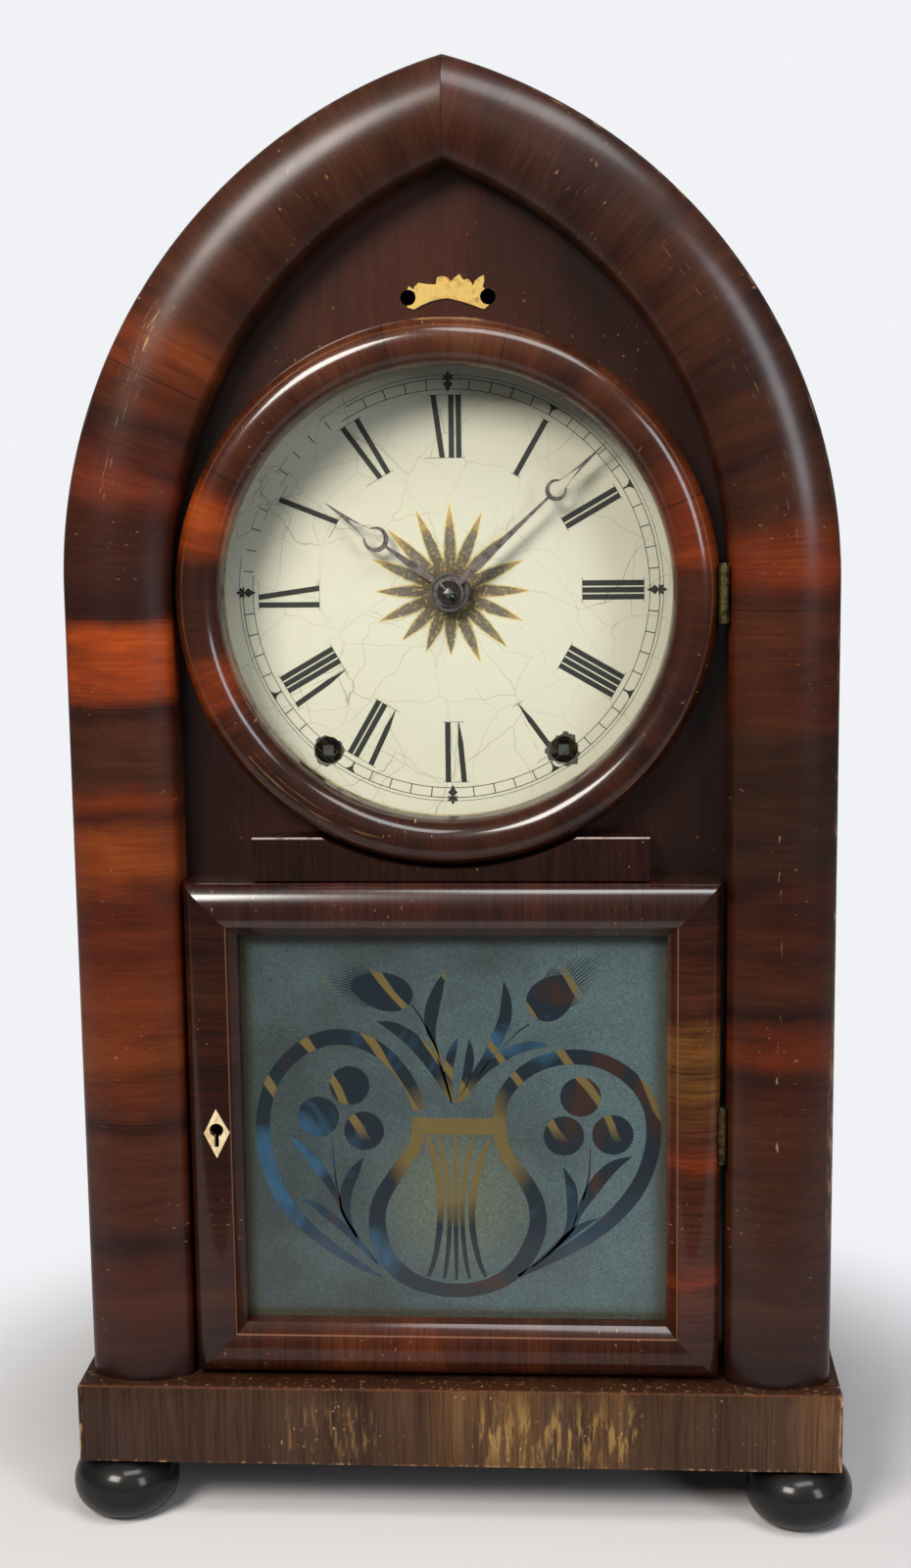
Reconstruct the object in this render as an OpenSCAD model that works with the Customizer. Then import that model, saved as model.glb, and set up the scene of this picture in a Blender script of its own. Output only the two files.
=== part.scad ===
// Round gothic ("beehive") shelf clock with an eight-day time and strike movement.
// Millimetres. +Z is up, the front faces -Y, and the origin is on the ground under the middle of the base.

/* [Base] */
// Width of the base
base_w = 267; // [255:1:285]
// Depth of the base
base_d = 102; // [98:1:120]
// Height of the base
base_h = 28.5; // [24:0.5:36]
// Thickness of the veneered facings on the front and sides of the base
facing_t = 8; // [5:0.5:9]

/* [Feet] */
// Diameter of a bun foot
foot_d = 37.5; // [32:0.5:42]
// Height of a bun foot
foot_h = 23; // [18:0.5:28]
// Distance from the base's side and front to a foot's centre
foot_inset = 13.5; // [13.5:0.5:20]
// Diameter of the dowel that holds a foot
foot_dowel_d = 8; // [6:0.5:9]
// Length of the dowel above the foot
foot_dowel_l = 14; // [8:1:18]

/* [Case] */
// Step from the side of the base to the side of the case
case_side_step = 3.3; // [2:0.1:6]
// Step from the front of the base to the crown of the front moulding
case_front_step = 4; // [2:0.5:8]
// Step from the back of the base to the back of the case
case_back_step = 2; // [0:0.5:4]
// Height of the straight sides above the base, up to where the arch springs
spring_h = 278.2; // [268:0.1:290]
// Distance past the centre line to the centre of each outer arch curve
arch_centre = 47.5; // [40:0.5:56]
// Thickness of the bent side shells
shell_t = 8; // [5:0.5:10]
// Thickness of the backboard
backboard_t = 7; // [5:0.5:9]

/* [Moulding] */
// Width of the front moulding on the pillars
moulding_w = 36.8; // [34:0.1:39]
// How much further the inner arch curve's centre lies past the outer one's
moulding_taper = 6.7; // [2:0.1:10]
// Height of the moulding's round above its edges
moulding_dome = 10; // [8:0.5:12]
// Depth of the moulding's edge, from where its round starts back to the panel
moulding_side = 10; // [8:0.5:12]
// Radius of the round at the moulding's edges
moulding_round = 6; // [4:0.5:7]

/* [Front panel] */
// Thickness of the recessed front panel
panel_t = 8; // [6:0.5:9]
// Width of the margin by which the panel's window is smaller than the door's opening
window_margin = 1; // [0.5:0.5:4]
// Width of the ledge left around the dial opening behind the bezel
dial_ledge = 4; // [2:0.5:6]
// Clearance between the tip of the minute hand and the panel around it
hand_room = 3; // [2:0.5:4]

/* [Step block] */
// Width of the block between the bezel and the door
block_w = 135.5; // [120:0.5:150]
// Height of that block
block_h = 15; // [12:0.5:18]
// Clearance around the bezel in the block's notch
block_notch_gap = 1.2; // [1:0.1:2]

/* [Ornament] */
// Width of the gilt ornament, across both drilled holes
ornament_w = 28; // [27:0.5:32]
// Height of the gilt ornament
ornament_h = 11.4; // [10:0.1:12.5]
// Distance of the ornament's middle to the right of the case's middle
ornament_x = 0.4; // [-1:0.1:1]
// Thickness of the gilt ornament
ornament_t = 0.6; // [0.4:0.1:1]
// Height of the ornament's foot above the bezel's top edge
ornament_rise = 2.9; // [2.5:0.1:4]
// Distance between the two drilled holes beside it
ornament_hole_span = 26.6; // [26:0.1:28]
// Diameter of those holes
ornament_hole_d = 5.2; // [2:0.1:5.2]

/* [Bezel] */
// Width of the turned bezel ring
bezel_w = 15.5; // [13:0.5:18]
// Height of the bezel's round above its edges
bezel_dome = 7; // [5.5:0.5:8]
// Depth of the bezel's edges
bezel_side = 9; // [7:0.5:10]
// Radius of the round at the bezel's edges
bezel_round = 4.5; // [3:0.5:5]
// Gap between the latch side of each door and the pillar
latch_gap = 1; // [0.8:0.1:2]
// Gap between the hinge side of the bezel and the pillar
bezel_hinge_gap = 2.8; // [2.6:0.1:3.2]

/* [Lower door] */
// Height of the lower door
door_h = 176; // [166:1:186]
// Gap under the lower door
door_foot_gap = 1.8; // [1:0.1:3]
// Width of the door's rails and stiles
rail_w = 18.2; // [16:0.1:21]
// Height of the rails' round above their edges
door_dome = 6; // [5.5:0.5:7]
// Depth of the rails' edges
door_side = 12.2; // [11:0.1:13]
// Radius of the round at the rails' edges
door_round = 4.5; // [3:0.5:5]
// Gap between the hinge side of the door and the pillar
door_hinge_gap = 2; // [1.8:0.1:2.4]
// Gap between the door's top and the block above it
door_top_gap = 0.6; // [0.4:0.1:2]

/* [Glass] */
// Thickness of both panes
glass_t = 2; // [1.5:0.1:2.5]
// Width of the rabbets that hold the panes
rabbet_w = 3; // [2:0.5:4]
// Depth from the start of the door's round back to the tablet
tablet_depth = 5; // [4:0.5:6]
// Depth of the rabbet behind the bezel's pane
bezel_putty_t = 1.6; // [1.2:0.1:3]

/* [Hinges] */
// Diameter of a hinge's barrel
barrel_d = 3.4; // [3:0.1:3.6]
// Length of a hinge
hinge_l = 19.5; // [16:0.5:26]
// Thickness of a hinge's leaf on the door
leaf_t = 1.1; // [0.8:0.1:1.2]
// Space between the two leaves of a hinge
leaf_gap = 0.6; // [0.4:0.1:0.8]
// Diameter of a hinge's pin
hinge_pin_d = 1.6; // [1.2:0.1:1.8]
// Distance of the hinge axes in front of the panel
hinge_forward = 13.5; // [13:0.1:14.5]
// Distance from the pillar to the bezel's hinge axis
bezel_hinge_inset = 2; // [1.9:0.1:2.2]
// Distance from the pillar to the door's hinge axis
door_hinge_inset = 1.6; // [1.5:0.1:1.8]
// Height of the door's hinge above the base
door_hinge_h = 89; // [40:1:140]

/* [Lock] */
// Width of the bone escutcheon
escutcheon_w = 8.9; // [7:0.1:10]
// Height of the bone escutcheon
escutcheon_h = 17.5; // [14:0.5:22]
// How far the escutcheon stands proud of the stile
escutcheon_proud = 0.3; // [0.2:0.1:0.6]
// Depth to which the escutcheon is let in
escutcheon_t = 2.5; // [1.5:0.1:3]
// Distance from the door's edge to the keyhole
keyhole_inset = 10; // [9:0.5:11]
// Height of the keyhole above the base
keyhole_h = 90.5; // [60:0.5:130]
// Diameter of the keyhole's round
keyhole_d = 4.8; // [3.5:0.1:5]
// Height of the lock's case
lock_h = 28; // [24:1:36]
// Width of the lock's case
lock_w = 14; // [13:0.5:15]
// Thickness of the lock's case
lock_t = 5.5; // [4.5:0.1:6]
// Height of the lock's bolt
bolt_h = 8; // [6:0.5:12]
// Thickness of the lock's bolt
bolt_t = 2.5; // [2:0.1:3]
// Travel of the lock's bolt
bolt_throw = 4; // [3:0.5:5]

/* [Dial] */
// Height of the dial's centre above the base
dial_h = 275.2; // [270:0.1:282]
// Side of the square dial sheet
dial_size = 176; // [172:1:182]
// Thickness of the dial sheet
dial_t = 1; // [0.6:0.1:1.4]
// Depth of the blocks that hold the dial behind the panel
dial_block_t = 6; // [5:0.5:7]
// Side of a dial block
dial_block_w = 14; // [10:0.5:18]
// Diameter of the dial's centre hole
dial_bore_d = 9; // [7.5:0.5:11]
// Diameter of a winding hole
winding_hole_d = 9.6; // [8.5:0.1:11]
// Diameter of a dial screw's head
dial_screw_d = 5; // [4:0.5:6]

/* [Hands] */
// Length of the minute hand from its centre to its tip
minute_hand_l = 74.2; // [68:0.1:75]
// Distance from the centre to the minute hand's ring
minute_ring_at = 50.3; // [44:0.1:54]
// Outer diameter of the minute hand's ring
minute_ring_d = 7.2; // [6:0.1:9]
// Length of the hour hand from its centre to its tip
hour_hand_l = 52.4; // [48:0.1:56]
// Distance from the centre to the hour hand's ring
hour_ring_at = 31; // [27:0.1:35]
// Outer diameter of the hour hand's ring
hour_ring_d = 8.6; // [7:0.1:10]
// Thickness of the hands
hand_t = 0.8; // [0.6:0.1:1]
// Diameter of the hour hand's hub
hour_hub_d = 13.6; // [11:0.1:15]
// Diameter of the minute hand's hub
minute_hub_d = 9.8; // [8:0.1:11]
// Angle of the minute hand, clockwise from twelve
minute_angle = 47; // [0:1:359]
// Angle of the hour hand, clockwise from twelve
hour_angle = 306; // [0:1:359]

/* [Movement] */
// Thickness of the movement's plates
plate_t = 1.6; // [1.2:0.1:2]
// Space between the plates
plate_space = 28; // [27:0.5:29]
// Space between the back of the dial and the front plate
dial_to_plate = 13; // [12:0.5:14]
// Diameter of the pillars between the plates
pillar_d = 7; // [5:0.5:7]
// Height of the wooden strips that the movement is screwed to
seat_h = 94; // [92:1:96]
// Distance from the dial's centre down to the foot of those strips
seat_drop = 46; // [45:0.5:47]
// Width of the cock that holds the pendulum
cock_w = 7; // [6:0.5:8]
// Height of that cock
cock_h = 3; // [2.5:0.1:3.5]
// Diameter of the train's arbors
arbor_d = 2.4; // [2:0.1:2.6]
// Diameter of the pivots that run in the plates
pivot_d = 1.6; // [1.2:0.1:1.8]
// Distance of the winding arbors below the dial's centre
winding_drop = 55.5; // [54:0.1:57]
// Distance of the strike side's winding arbor left of the centre
strike_winding_x = 43.6; // [42:0.1:46]
// Distance of the time side's winding arbor right of the centre
time_winding_x = 38.9; // [38:0.1:41]
// Side of the square on a winding arbor's end
winding_square = 3.6; // [3:0.1:4]
// Diameter of a winding arbor
winding_arbor_d = 6; // [5:0.5:7]
// Thickness of a great wheel
great_t = 2; // [1.6:0.1:2.4]
// Thickness of the other wheels
wheel_t = 1.2; // [0.8:0.1:1.4]
// Height of the mainspring strip
spring_strip_h = 15; // [12:0.5:16]
// Thickness of the mainspring strip
spring_strip_t = 0.5; // [0.4:0.05:0.8]
// Space from one turn of a mainspring to the next
mainspring_pitch = 2.45; // [2.3:0.01:2.5]
// Turns of a mainspring
mainspring_turns = 8; // [8:1:8]

/* [Trains] */
// Teeth of each great wheel
great_n = 64; // [62:1:66]
// Module of the great wheels
great_m = 0.97; // [0.965:0.005:0.98]
// Pins of the pinions that the great wheels drive
second_pins = 10; // [9:1:11]
// Teeth of the time side's second wheel
second_n = 48; // [47:1:50]
// Module of the time side's second wheel
second_m = 1.1; // [1.1:0.01:1.12]
// Pins of the centre arbor's pinion
centre_pins = 12; // [11:1:13]
// Teeth of the centre wheel and of the strike side's second wheel
centre_n = 60; // [58:1:61]
// Module of the centre wheel and of the strike side's second wheel
centre_m = 0.8; // [0.78:0.01:0.82]
// Pins of the pinions that those wheels drive
fourth_pins = 8; // [7:1:9]
// Teeth of the fourth wheel
fourth_n = 80; // [78:1:81]
// Teeth of the strike side's pin wheel
pin_wheel_n = 56; // [50:1:58]
// Module of the fourth wheel and of the pin wheel
fourth_m = 0.6; // [0.59:0.005:0.61]
// Pins of the escape pinion and of the fly's pinion
escape_pins = 7; // [6:1:8]
// Teeth of the escape wheel
escape_n = 42; // [36:2:44]
// Radius of the escape wheel
escape_r = 14; // [13:0.5:15]
// Height of the escape arbor above the centre
escape_rise = 48; // [47:0.5:49]
// Distance of the pendulum left of the centre, which lets its rod pass the hands' arbor
pendulum_offset = 10; // [9.5:0.5:11]
// Height of the verge's axis above the escape arbor
verge_rise = 21; // [20:0.5:22]
// Length of the verge's crutch
crutch_l = 38; // [37:0.5:39]
// Lift of the pallets off the escape wheel's teeth
pallet_gap = 1.3; // [1.2:0.1:1.8]
// Angle of the strike side's second arbor above its winding arbor
strike_second_angle = 62; // [60:1:64]
// Angle of the pin wheel above the strike side's second arbor
pin_wheel_angle = 100; // [95:1:105]
// Angle of the fly above the pin wheel
fly_angle = 105; // [100:1:115]
// Radius of the fly's blade
fly_r = 9; // [7:0.5:10]

/* [Motion works] */
// Pins of the cannon pinion
cannon_pins = 12; // [12:1:12]
// Teeth of the minute wheel
minute_n = 36; // [36:1:36]
// Pins of the minute wheel's pinion
minute_pins = 10; // [10:1:10]
// Teeth of the hour wheel
hour_n = 40; // [40:1:40]
// Distance from the centre to the minute wheel's stud
motion_d = 18; // [17.5:0.1:18.5]
// Angle of the minute wheel's stud, below the horizontal on the right
motion_angle = 30; // [20:1:40]
// Diameter of the centre arbor in front of the movement
centre_arbor_d = 4; // [3.6:0.1:4.2]
// Side of the square end of the centre arbor
arbor_square = 2.6; // [2.4:0.1:2.7]
// Outer diameter of the hour pipe
hour_pipe_d = 6.4; // [6:0.1:6.8]

/* [Pendulum] */
// Length of the pendulum from its bend to the middle of its bob
pendulum_l = 248.5; // [240:0.5:252]
// Diameter of the bob
bob_d = 46; // [40:1:52]
// Thickness of the bob at its middle
bob_t = 8; // [6:0.5:9]
// Diameter of the rod
rod_d = 1.8; // [1.4:0.1:2]
// Length of the suspension spring
suspension_l = 9; // [7:0.5:10]

/* [Gong and hammer] */
// Outer radius of the gong's coil
gong_r = 34; // [31:0.5:36]
// Diameter of the gong's wire
gong_wire_d = 2.2; // [1.8:0.1:2.6]
// Distance from one turn of the gong to the next
gong_pitch = 6.5; // [5.5:0.1:7]
// Height of the gong's centre above the base
gong_h = 98.5; // [85:0.5:110]
// Height of the wooden gong block in front of the backboard
gong_block_t = 14; // [10:0.5:18]
// Side of the gong block
gong_block_w = 34; // [28:1:44]
// Diameter of the hammer's head
hammer_d = 10; // [8:0.5:12]
// Length of the hammer's head
hammer_l = 9; // [7:0.5:12]
// Clearance between the hammer's head and the gong
hammer_gap = 0.8; // [0.5:0.1:2]

/* [Fits] */
// Radial clearance of a shaft that runs in a hole
run_gap = 0.05; // [0.02:0.01:0.08]
// Gap between panels and doors that must not rub
rub_gap = 0.3; // [0.2:0.05:0.5]
// Gap left around pieces that are fitted by hand
fit_gap = 0.2; // [0.1:0.05:0.3]

/* [Hidden] */
$fn = 96;

// Heights
base_top = foot_h + base_h;
spring_z = base_top + spring_h;
dial_z = base_top + dial_h;
door_z = base_top + door_foot_gap;
block_z = door_z + door_h + door_top_gap;
tall = 1000;

// Depths, from the front backwards
base_front = -base_d / 2;
moulding_front = base_front + case_front_step;
moulding_edge = moulding_front + moulding_dome;
panel_front = moulding_edge + moulding_side;
panel_back = panel_front + panel_t;
dial_front = panel_back + dial_block_t;
dial_back = dial_front + dial_t;
plate_front = dial_back + dial_to_plate;
inside_front = plate_front + plate_t;
inside_back = inside_front + plate_space;
plate_back = inside_back + plate_t;
case_back = base_d / 2 - case_back_step;
board_front = case_back - backboard_t;
door_back = panel_front - rub_gap;
door_edge = door_back - door_side;
bezel_edge = door_back - bezel_side;

// Widths, from the centre line outwards
case_half = base_w / 2 - case_side_step;
opening_half = case_half - moulding_w / 2 - moulding_w / 2;
arch_r = case_half + arch_centre;
inner_centre = arch_centre + moulding_taper;
ridge_x = case_half - moulding_w / 2;
door_left = -opening_half + latch_gap;
door_right = opening_half - door_hinge_gap;
door_mid = (door_left + door_right) / 2;
door_w = door_right - door_left;
bezel_r = opening_half - (latch_gap + bezel_hinge_gap) / 2;
bezel_in = bezel_r - bezel_w;
dial_x = door_left + bezel_r;
foot_x = base_w / 2 - foot_inset;
foot_y = base_d / 2 - foot_inset;

// Glass and the panel's window
sight_left = door_left + rail_w;
sight_right = door_right - rail_w;
sight_low = door_z + rail_w;
sight_high = door_z + door_h - rail_w;
tablet_front = door_edge + tablet_depth;
bezel_glass_back = door_back - bezel_putty_t;
bezel_glass_front = bezel_glass_back - glass_t;
ornament_z = dial_z + bezel_r + ornament_rise;

// Hinges
hinge_y = panel_front - hinge_forward;
bezel_hinge_x = opening_half - bezel_hinge_inset;
door_hinge_x = opening_half - door_hinge_inset;
door_hinge_z = base_top + door_hinge_h;
barrel_room = barrel_d / 2 + rub_gap;
knuckle_gap = 0.15;
pin_head = 0.5;
hinge_room_end = pin_head + rub_gap;

// Lock
key_x = door_left + keyhole_inset;
key_z = base_top + keyhole_h;
lock_left = door_left + 1;
bolt_y = door_back - lock_t / 2;
slot_d = keyhole_d / 3;

// Trains: every place is [right of the dial's centre, above it]
pin_share = 0.3;
great_p = great_m * (great_n + second_pins) / 2;
second_p = second_m * (second_n + centre_pins) / 2;
centre_p = centre_m * (centre_n + fourth_pins) / 2;
fourth_p = fourth_m * (fourth_n + escape_pins) / 2;
fly_p = fourth_m * (pin_wheel_n + escape_pins) / 2;
minute_m = 2 * motion_d / (cannon_pins + minute_n);
hour_m = 2 * motion_d / (minute_pins + hour_n);
centre_at = [0, 0];
time_great_at = [time_winding_x, -winding_drop];
strike_great_at = [-strike_winding_x, -winding_drop];
escape_at = [-pendulum_offset, escape_rise];
verge_at = escape_at + [0, verge_rise];
second_at = meet(centre_at, second_p, time_great_at, great_p);
fourth_at = meet(centre_at, centre_p, escape_at, fourth_p, -1);
strike_second_at = strike_great_at + great_p * unit(strike_second_angle);
pin_wheel_at = strike_second_at + centre_p * unit(pin_wheel_angle);
fly_at = pin_wheel_at + fly_p * unit(fly_angle);
minute_at = motion_d * unit(-motion_angle);
hammer_at = [-8, -44];
lever_at = [3, -49];
count_r = 24;
count_start = heading(strike_great_at, lever_at);
cam_r = 5;
lift_pins_r = centre_n * centre_m / 2 - 2.4;
cam_y = inside_front + 11.1;
spring_in = winding_arbor_d / 2 + run_gap + spring_strip_t / 2;
spring_out = spring_in + mainspring_turns * mainspring_pitch;
hook_r = pillar_d / 2 + 0.02 + spring_strip_t / 2;
hook_z = -12;
pillar_places = [[-strike_winding_x - spring_out + hook_r, hook_z], [time_winding_x + spring_out - hook_r, hook_z], [1, -62], [-38, 64], [34, 64]];
screw_places = [[-60, -26], [60, -26], [-52, 30], [52, 30]];
seat_x = 60;
seat_w = 16;
plate_corners = [[-56, -66], [54, -66], [67, -34], [67, -4], [58, 36], [44, 82], [-46, 82], [-58, 36], [-67, -4], [-67, -34]];

// Depths of the wheels between the plates
second_y = inside_front + 1;
strike_second_y = second_y + wheel_t + 0.8;
spring_y = strike_second_y + wheel_t + 2.4;
centre_y = inside_front + 8.4;
fourth_y = centre_y + wheel_t + 2.8;
pin_wheel_y = fourth_y + wheel_t + 1.8;
great_y = inside_back - great_t - 2.6;
escape_y = plate_front - 4.2;
escape_t = 0.8;
rod_y = dial_back + 2.6;
minute_wheel_y = plate_front - 3.4;
hour_wheel_y = minute_wheel_y - wheel_t - 1.4;
shroud_t = 0.8;

// Hands, from the dial forwards
hour_hand_y = dial_front - 5.4;
minute_hand_y = hour_hand_y - hand_t - 1.1;
collet_t = 0.8;
collet_y = minute_hand_y - collet_t;
arbor_tip_y = collet_y - 2.6;
hour_pipe_bore = centre_arbor_d / 2 + run_gap;

// Gong
gong_z = base_top + gong_h;
hammer_x = dial_x + hammer_at[0];
gong_x = hammer_x + hammer_d / 2 + hammer_gap + gong_r;
gong_y = inside_front + 14;
gong_turns = floor((gong_r - 8) / gong_pitch);
gong_r0 = gong_r - gong_wire_d / 2 - (gong_turns - 0.5) * gong_pitch - gong_pitch / 2;

wood_dark = "#4a1f12";
wood_red = "#6d2a14";
wood_brown = "#3a2014";
pine = "#b98f58";
brass = "#b08d3c";
steel = "#5b6066";
cream = "#cfcaa9";

// Half the width between the mouldings at height z
function wall_x(z) = z > spring_z ? sqrt(pow(opening_half + inner_centre, 2) - pow(z - spring_z, 2)) - inner_centre : opening_half;
function unit(a) = [cos(a), sin(a)];
function heading(from, to) = atan2(to[1] - from[1], to[0] - from[0]);
// The point at distance ra from a and rb from b, on the right of the line from a to b, or the left for side -1
function meet(a, ra, b, rb, side = 1) = let(d = norm(b - a), along = (ra * ra - rb * rb + d * d) / (2 * d),
    off = sqrt(max(0, ra * ra - along * along)), u = (b - a) / d)
    a + along * u + side * off * [-u[1], u[0]];
// The turn of a pinion at b that puts a pin in a gap of the wheel at a, whose teeth are turned by t
function mesh_turn(a, n, b, pins, t = 0) = let(h = heading(a, b), f = (h - t) * n / 360)
    h + 180 - (0.5 - f) * 360 / pins;

// A flat shape in the front view, from y back by t
module slab(y, t) { translate([0, y + t, 0]) rotate([90, 0, 0]) linear_extrude(t) children(); }

// A round bar that runs from front to back
module bar(x, z, y0, y1, r) { translate([x, y1, z]) rotate([90, 0, 0]) cylinder(h = y1 - y0, r = r); }

// What lies at a place of the movement
module at_movement(p) { translate([dial_x + p[0], 0, dial_z + p[1]]) children(); }

// Section of a cushion moulding: its round points to -y and its back lies at y = side
module cushion(w, dome, round, side) {
    half = w / 2 - round;
    big = (half * half + dome * dome - round * round) / (2 * (dome - round));
    reach = 4 * w;
    translate([-w / 2, 0]) square([w, side]);
    for (s = [-1, 1]) translate([s * half, 0]) circle(round);
    intersection() {
        translate([0, big - dome]) circle(big);
        polygon([[0, min(side, big - dome)], [-half, 0], [-half - reach * half, -reach * (big - dome)],
            [half + reach * half, -reach * (big - dome)], [half, 0]]);
        translate([-w / 2, -dome]) square([w, dome + side]);
    }
}

module moulding_section() { translate([0, moulding_edge]) cushion(moulding_w, moulding_dome, moulding_round, moulding_side); }

// Half of the moulding's section, swept along an arch curve whose centre lies past the centre line
module arch_sweep(centre, outer) {
    turn = acos(centre / (case_half + centre)) + 3;
    translate([-centre, 0, spring_z]) rotate([90, 0, 0]) rotate_extrude(angle = turn) mirror([0, 1])
        intersection() {
            translate([centre + ridge_x, 0]) moulding_section();
            translate([centre + ridge_x - (outer ? 0 : moulding_w), -tall / 2]) square([moulding_w, tall]);
        }
}

module moulding_right() {
    translate([ridge_x, 0, base_top]) linear_extrude(spring_h) moulding_section();
    intersection() {
        translate([0, base_front, spring_z]) cube([base_w, base_d, tall]);
        union() { arch_sweep(arch_centre, true); arch_sweep(inner_centre, false); }
    }
}

// The outline of the arched case, taken in by inset: a lens over a rectangle
module arch_lens(inset) {
    half = case_half - inset;
    translate([-half, base_top - (inset > 0 ? 1 : 0)]) square([2 * half, spring_h + (inset > 0 ? 1 : 0)]);
    intersection() {
        translate([-arch_centre, spring_z]) circle(arch_r - inset);
        translate([arch_centre, spring_z]) circle(arch_r - inset);
        translate([-half, spring_z]) square([2 * half, tall]);
    }
}

module shell_half(side) {
    color(wood_dark) intersection() {
        slab(panel_front, board_front - panel_front) difference() {
            arch_lens(0);
            arch_lens(shell_t);
        }
        translate([side > 0 ? 0 : -base_w, -base_d, 0]) cube([base_w, 2 * base_d, tall]);
    }
}

// Base and feet

module plinth_core() {
    color(pine) difference() {
        translate([-base_w / 2 + facing_t, base_front + facing_t, foot_h]) cube([base_w - 2 * facing_t, base_d - facing_t, base_h]);
        for (x = [-foot_x, foot_x], y = [-foot_y, foot_y]) translate([x, y, foot_h - 1]) cylinder(h = foot_dowel_l + 1 + fit_gap, r = foot_dowel_d / 2 + run_gap);
    }
}

// The front facing meets the side facings in a mitre
module plinth_front() {
    w = base_w / 2;
    color(wood_brown) translate([0, 0, foot_h]) linear_extrude(base_h)
        polygon([[-w, base_front], [w, base_front], [w - facing_t, base_front + facing_t], [-w + facing_t, base_front + facing_t]]);
}

module plinth_side(side) {
    w = side * base_w / 2;
    in = side * (base_w / 2 - facing_t);
    color(wood_brown) translate([0, 0, foot_h]) linear_extrude(base_h)
        polygon([[w, base_front], [w, base_d / 2], [in, base_d / 2], [in, base_front + facing_t]]);
}

module plinth_left() { plinth_side(-1); }
module plinth_right() { plinth_side(1); }

module bun_feet() {
    color("#141312") for (x = [-foot_x, foot_x], y = [-foot_y, foot_y]) translate([x, y, 0]) {
        rotate_extrude() intersection() {
            union() {
                translate([foot_d / 2 - foot_h / 2, foot_h / 2]) circle(foot_h / 2);
                square([foot_d / 2 - foot_h / 2, foot_h]);
            }
            square([foot_d, foot_h]);
        }
        translate([0, 0, foot_h / 2]) cylinder(h = foot_h / 2 + foot_dowel_l, r = foot_dowel_d / 2);
    }
}

// Case

module arch_moulding_right() {
    color(wood_red) moulding_right();
}

module arch_moulding_left() {
    color(wood_red) difference() {
        mirror([1, 0, 0]) moulding_right();
        translate([-opening_half - bolt_throw - 1, bolt_y - bolt_t / 2 - rub_gap, key_z - bolt_h / 2 - rub_gap])
            cube([bolt_throw + 2, bolt_t + 2 * rub_gap, bolt_h + 2 * rub_gap]);
    }
}

module side_shell_left() { shell_half(-1); }
module side_shell_right() { shell_half(1); }

module backboard() {
    color(pine) slab(board_front, backboard_t) arch_lens(0);
}

module front_panel() {
    color(wood_brown) slab(panel_front, panel_t) difference() {
        intersection() {
            arch_lens(shell_t + fit_gap);
            translate([-base_w, base_top]) square([2 * base_w, tall]);
        }
        translate([dial_x, dial_z]) circle(max(bezel_in + dial_ledge, minute_hand_l + hand_room));
        translate([sight_left + window_margin, sight_low + window_margin])
            square([sight_right - sight_left - 2 * window_margin, sight_high - sight_low - 2 * window_margin]);
        ornament_holes(ornament_hole_d / 2);
    }
}

module step_block() {
    color(wood_red) slab(door_edge, panel_front - door_edge) difference() {
        translate([door_mid - block_w / 2, block_z]) square([block_w, block_h]);
        translate([dial_x, dial_z]) circle(bezel_r + block_notch_gap);
    }
}

module ornament_holes(r) {
    for (s = [-1, 1]) translate([ornament_x + s * ornament_hole_span / 2, ornament_z + 0.35 * ornament_h]) circle(r);
}

// What is left of a pressed gilt crest: leaves over an arched foot, cut away round both holes
module gilt_ornament() {
    crest = [[-0.92, 0.68], [-0.82, 0.58], [-0.79, 0.66], [-0.69, 0.77], [-0.51, 0.73], [-0.28, 0.71], [-0.25, 0.91], [-0.13, 0.95],
        [0, 0.91], [0.07, 0.8], [0.16, 0.89], [0.28, 1], [0.35, 0.87], [0.38, 0.83], [0.48, 0.86], [0.55, 0.79], [0.6, 0.66],
        [0.64, 0.79], [0.74, 0.89], [0.86, 0.96], [0.87, 0.77], [0.83, 0.63], [0.97, 0.46], [0.97, 0.1], [0.88, 0]];
    foot = [[0.79, 0.01], [0.62, 0.1], [0.36, 0.21], [0.01, 0.32], [-0.17, 0.3], [-0.4, 0.24], [-0.64, 0.12], [-0.81, 0.01], [-0.97, 0.07], [-1, 0.5]];
    color("#c9a544") slab(panel_front - ornament_t, ornament_t) difference() {
        translate([ornament_x, ornament_z]) polygon([for (p = concat(crest, foot)) [p[0] * ornament_w / 2, p[1] * ornament_h]]);
        ornament_holes(ornament_hole_d / 2);
    }
}

// Dial

// The dial and its blocks stay inside the side shells
module dial_blocks() {
    reach = dial_size / 2 - dial_block_w;
    color(pine) intersection() {
        slab(panel_back, dial_block_t) arch_lens(shell_t + fit_gap);
        for (x = [-1, 1], z = [-1, 1])
            translate([dial_x + (x > 0 ? reach : -reach - dial_block_w), panel_back, dial_z + (z > 0 ? reach : -reach - dial_block_w)])
            difference() {
                cube([dial_block_w, dial_block_t, dial_block_w]);
                translate([dial_block_w / 2, dial_block_t + 1, dial_block_w / 2]) rotate([90, 0, 0]) cylinder(h = dial_block_t, d = dial_screw_d / 2);
            }
    }
}

module dial_screw_holes(r) {
    reach = (dial_size - dial_block_w) / 2;
    for (x = [-reach, reach], z = [-reach, reach]) translate([dial_x + x, dial_z + z]) circle(r);
}

module dial() {
    color(cream) slab(dial_front, dial_t) difference() {
        intersection() {
            arch_lens(shell_t + fit_gap);
            translate([dial_x - dial_size / 2, dial_z - dial_size / 2]) square(dial_size);
        }
        translate([dial_x, dial_z]) circle(d = dial_bore_d);
        for (p = [time_great_at, strike_great_at]) translate([dial_x + p[0], dial_z + p[1]]) circle(d = winding_hole_d);
        dial_screw_holes(dial_screw_d / 4 + fit_gap);
    }
}

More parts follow.
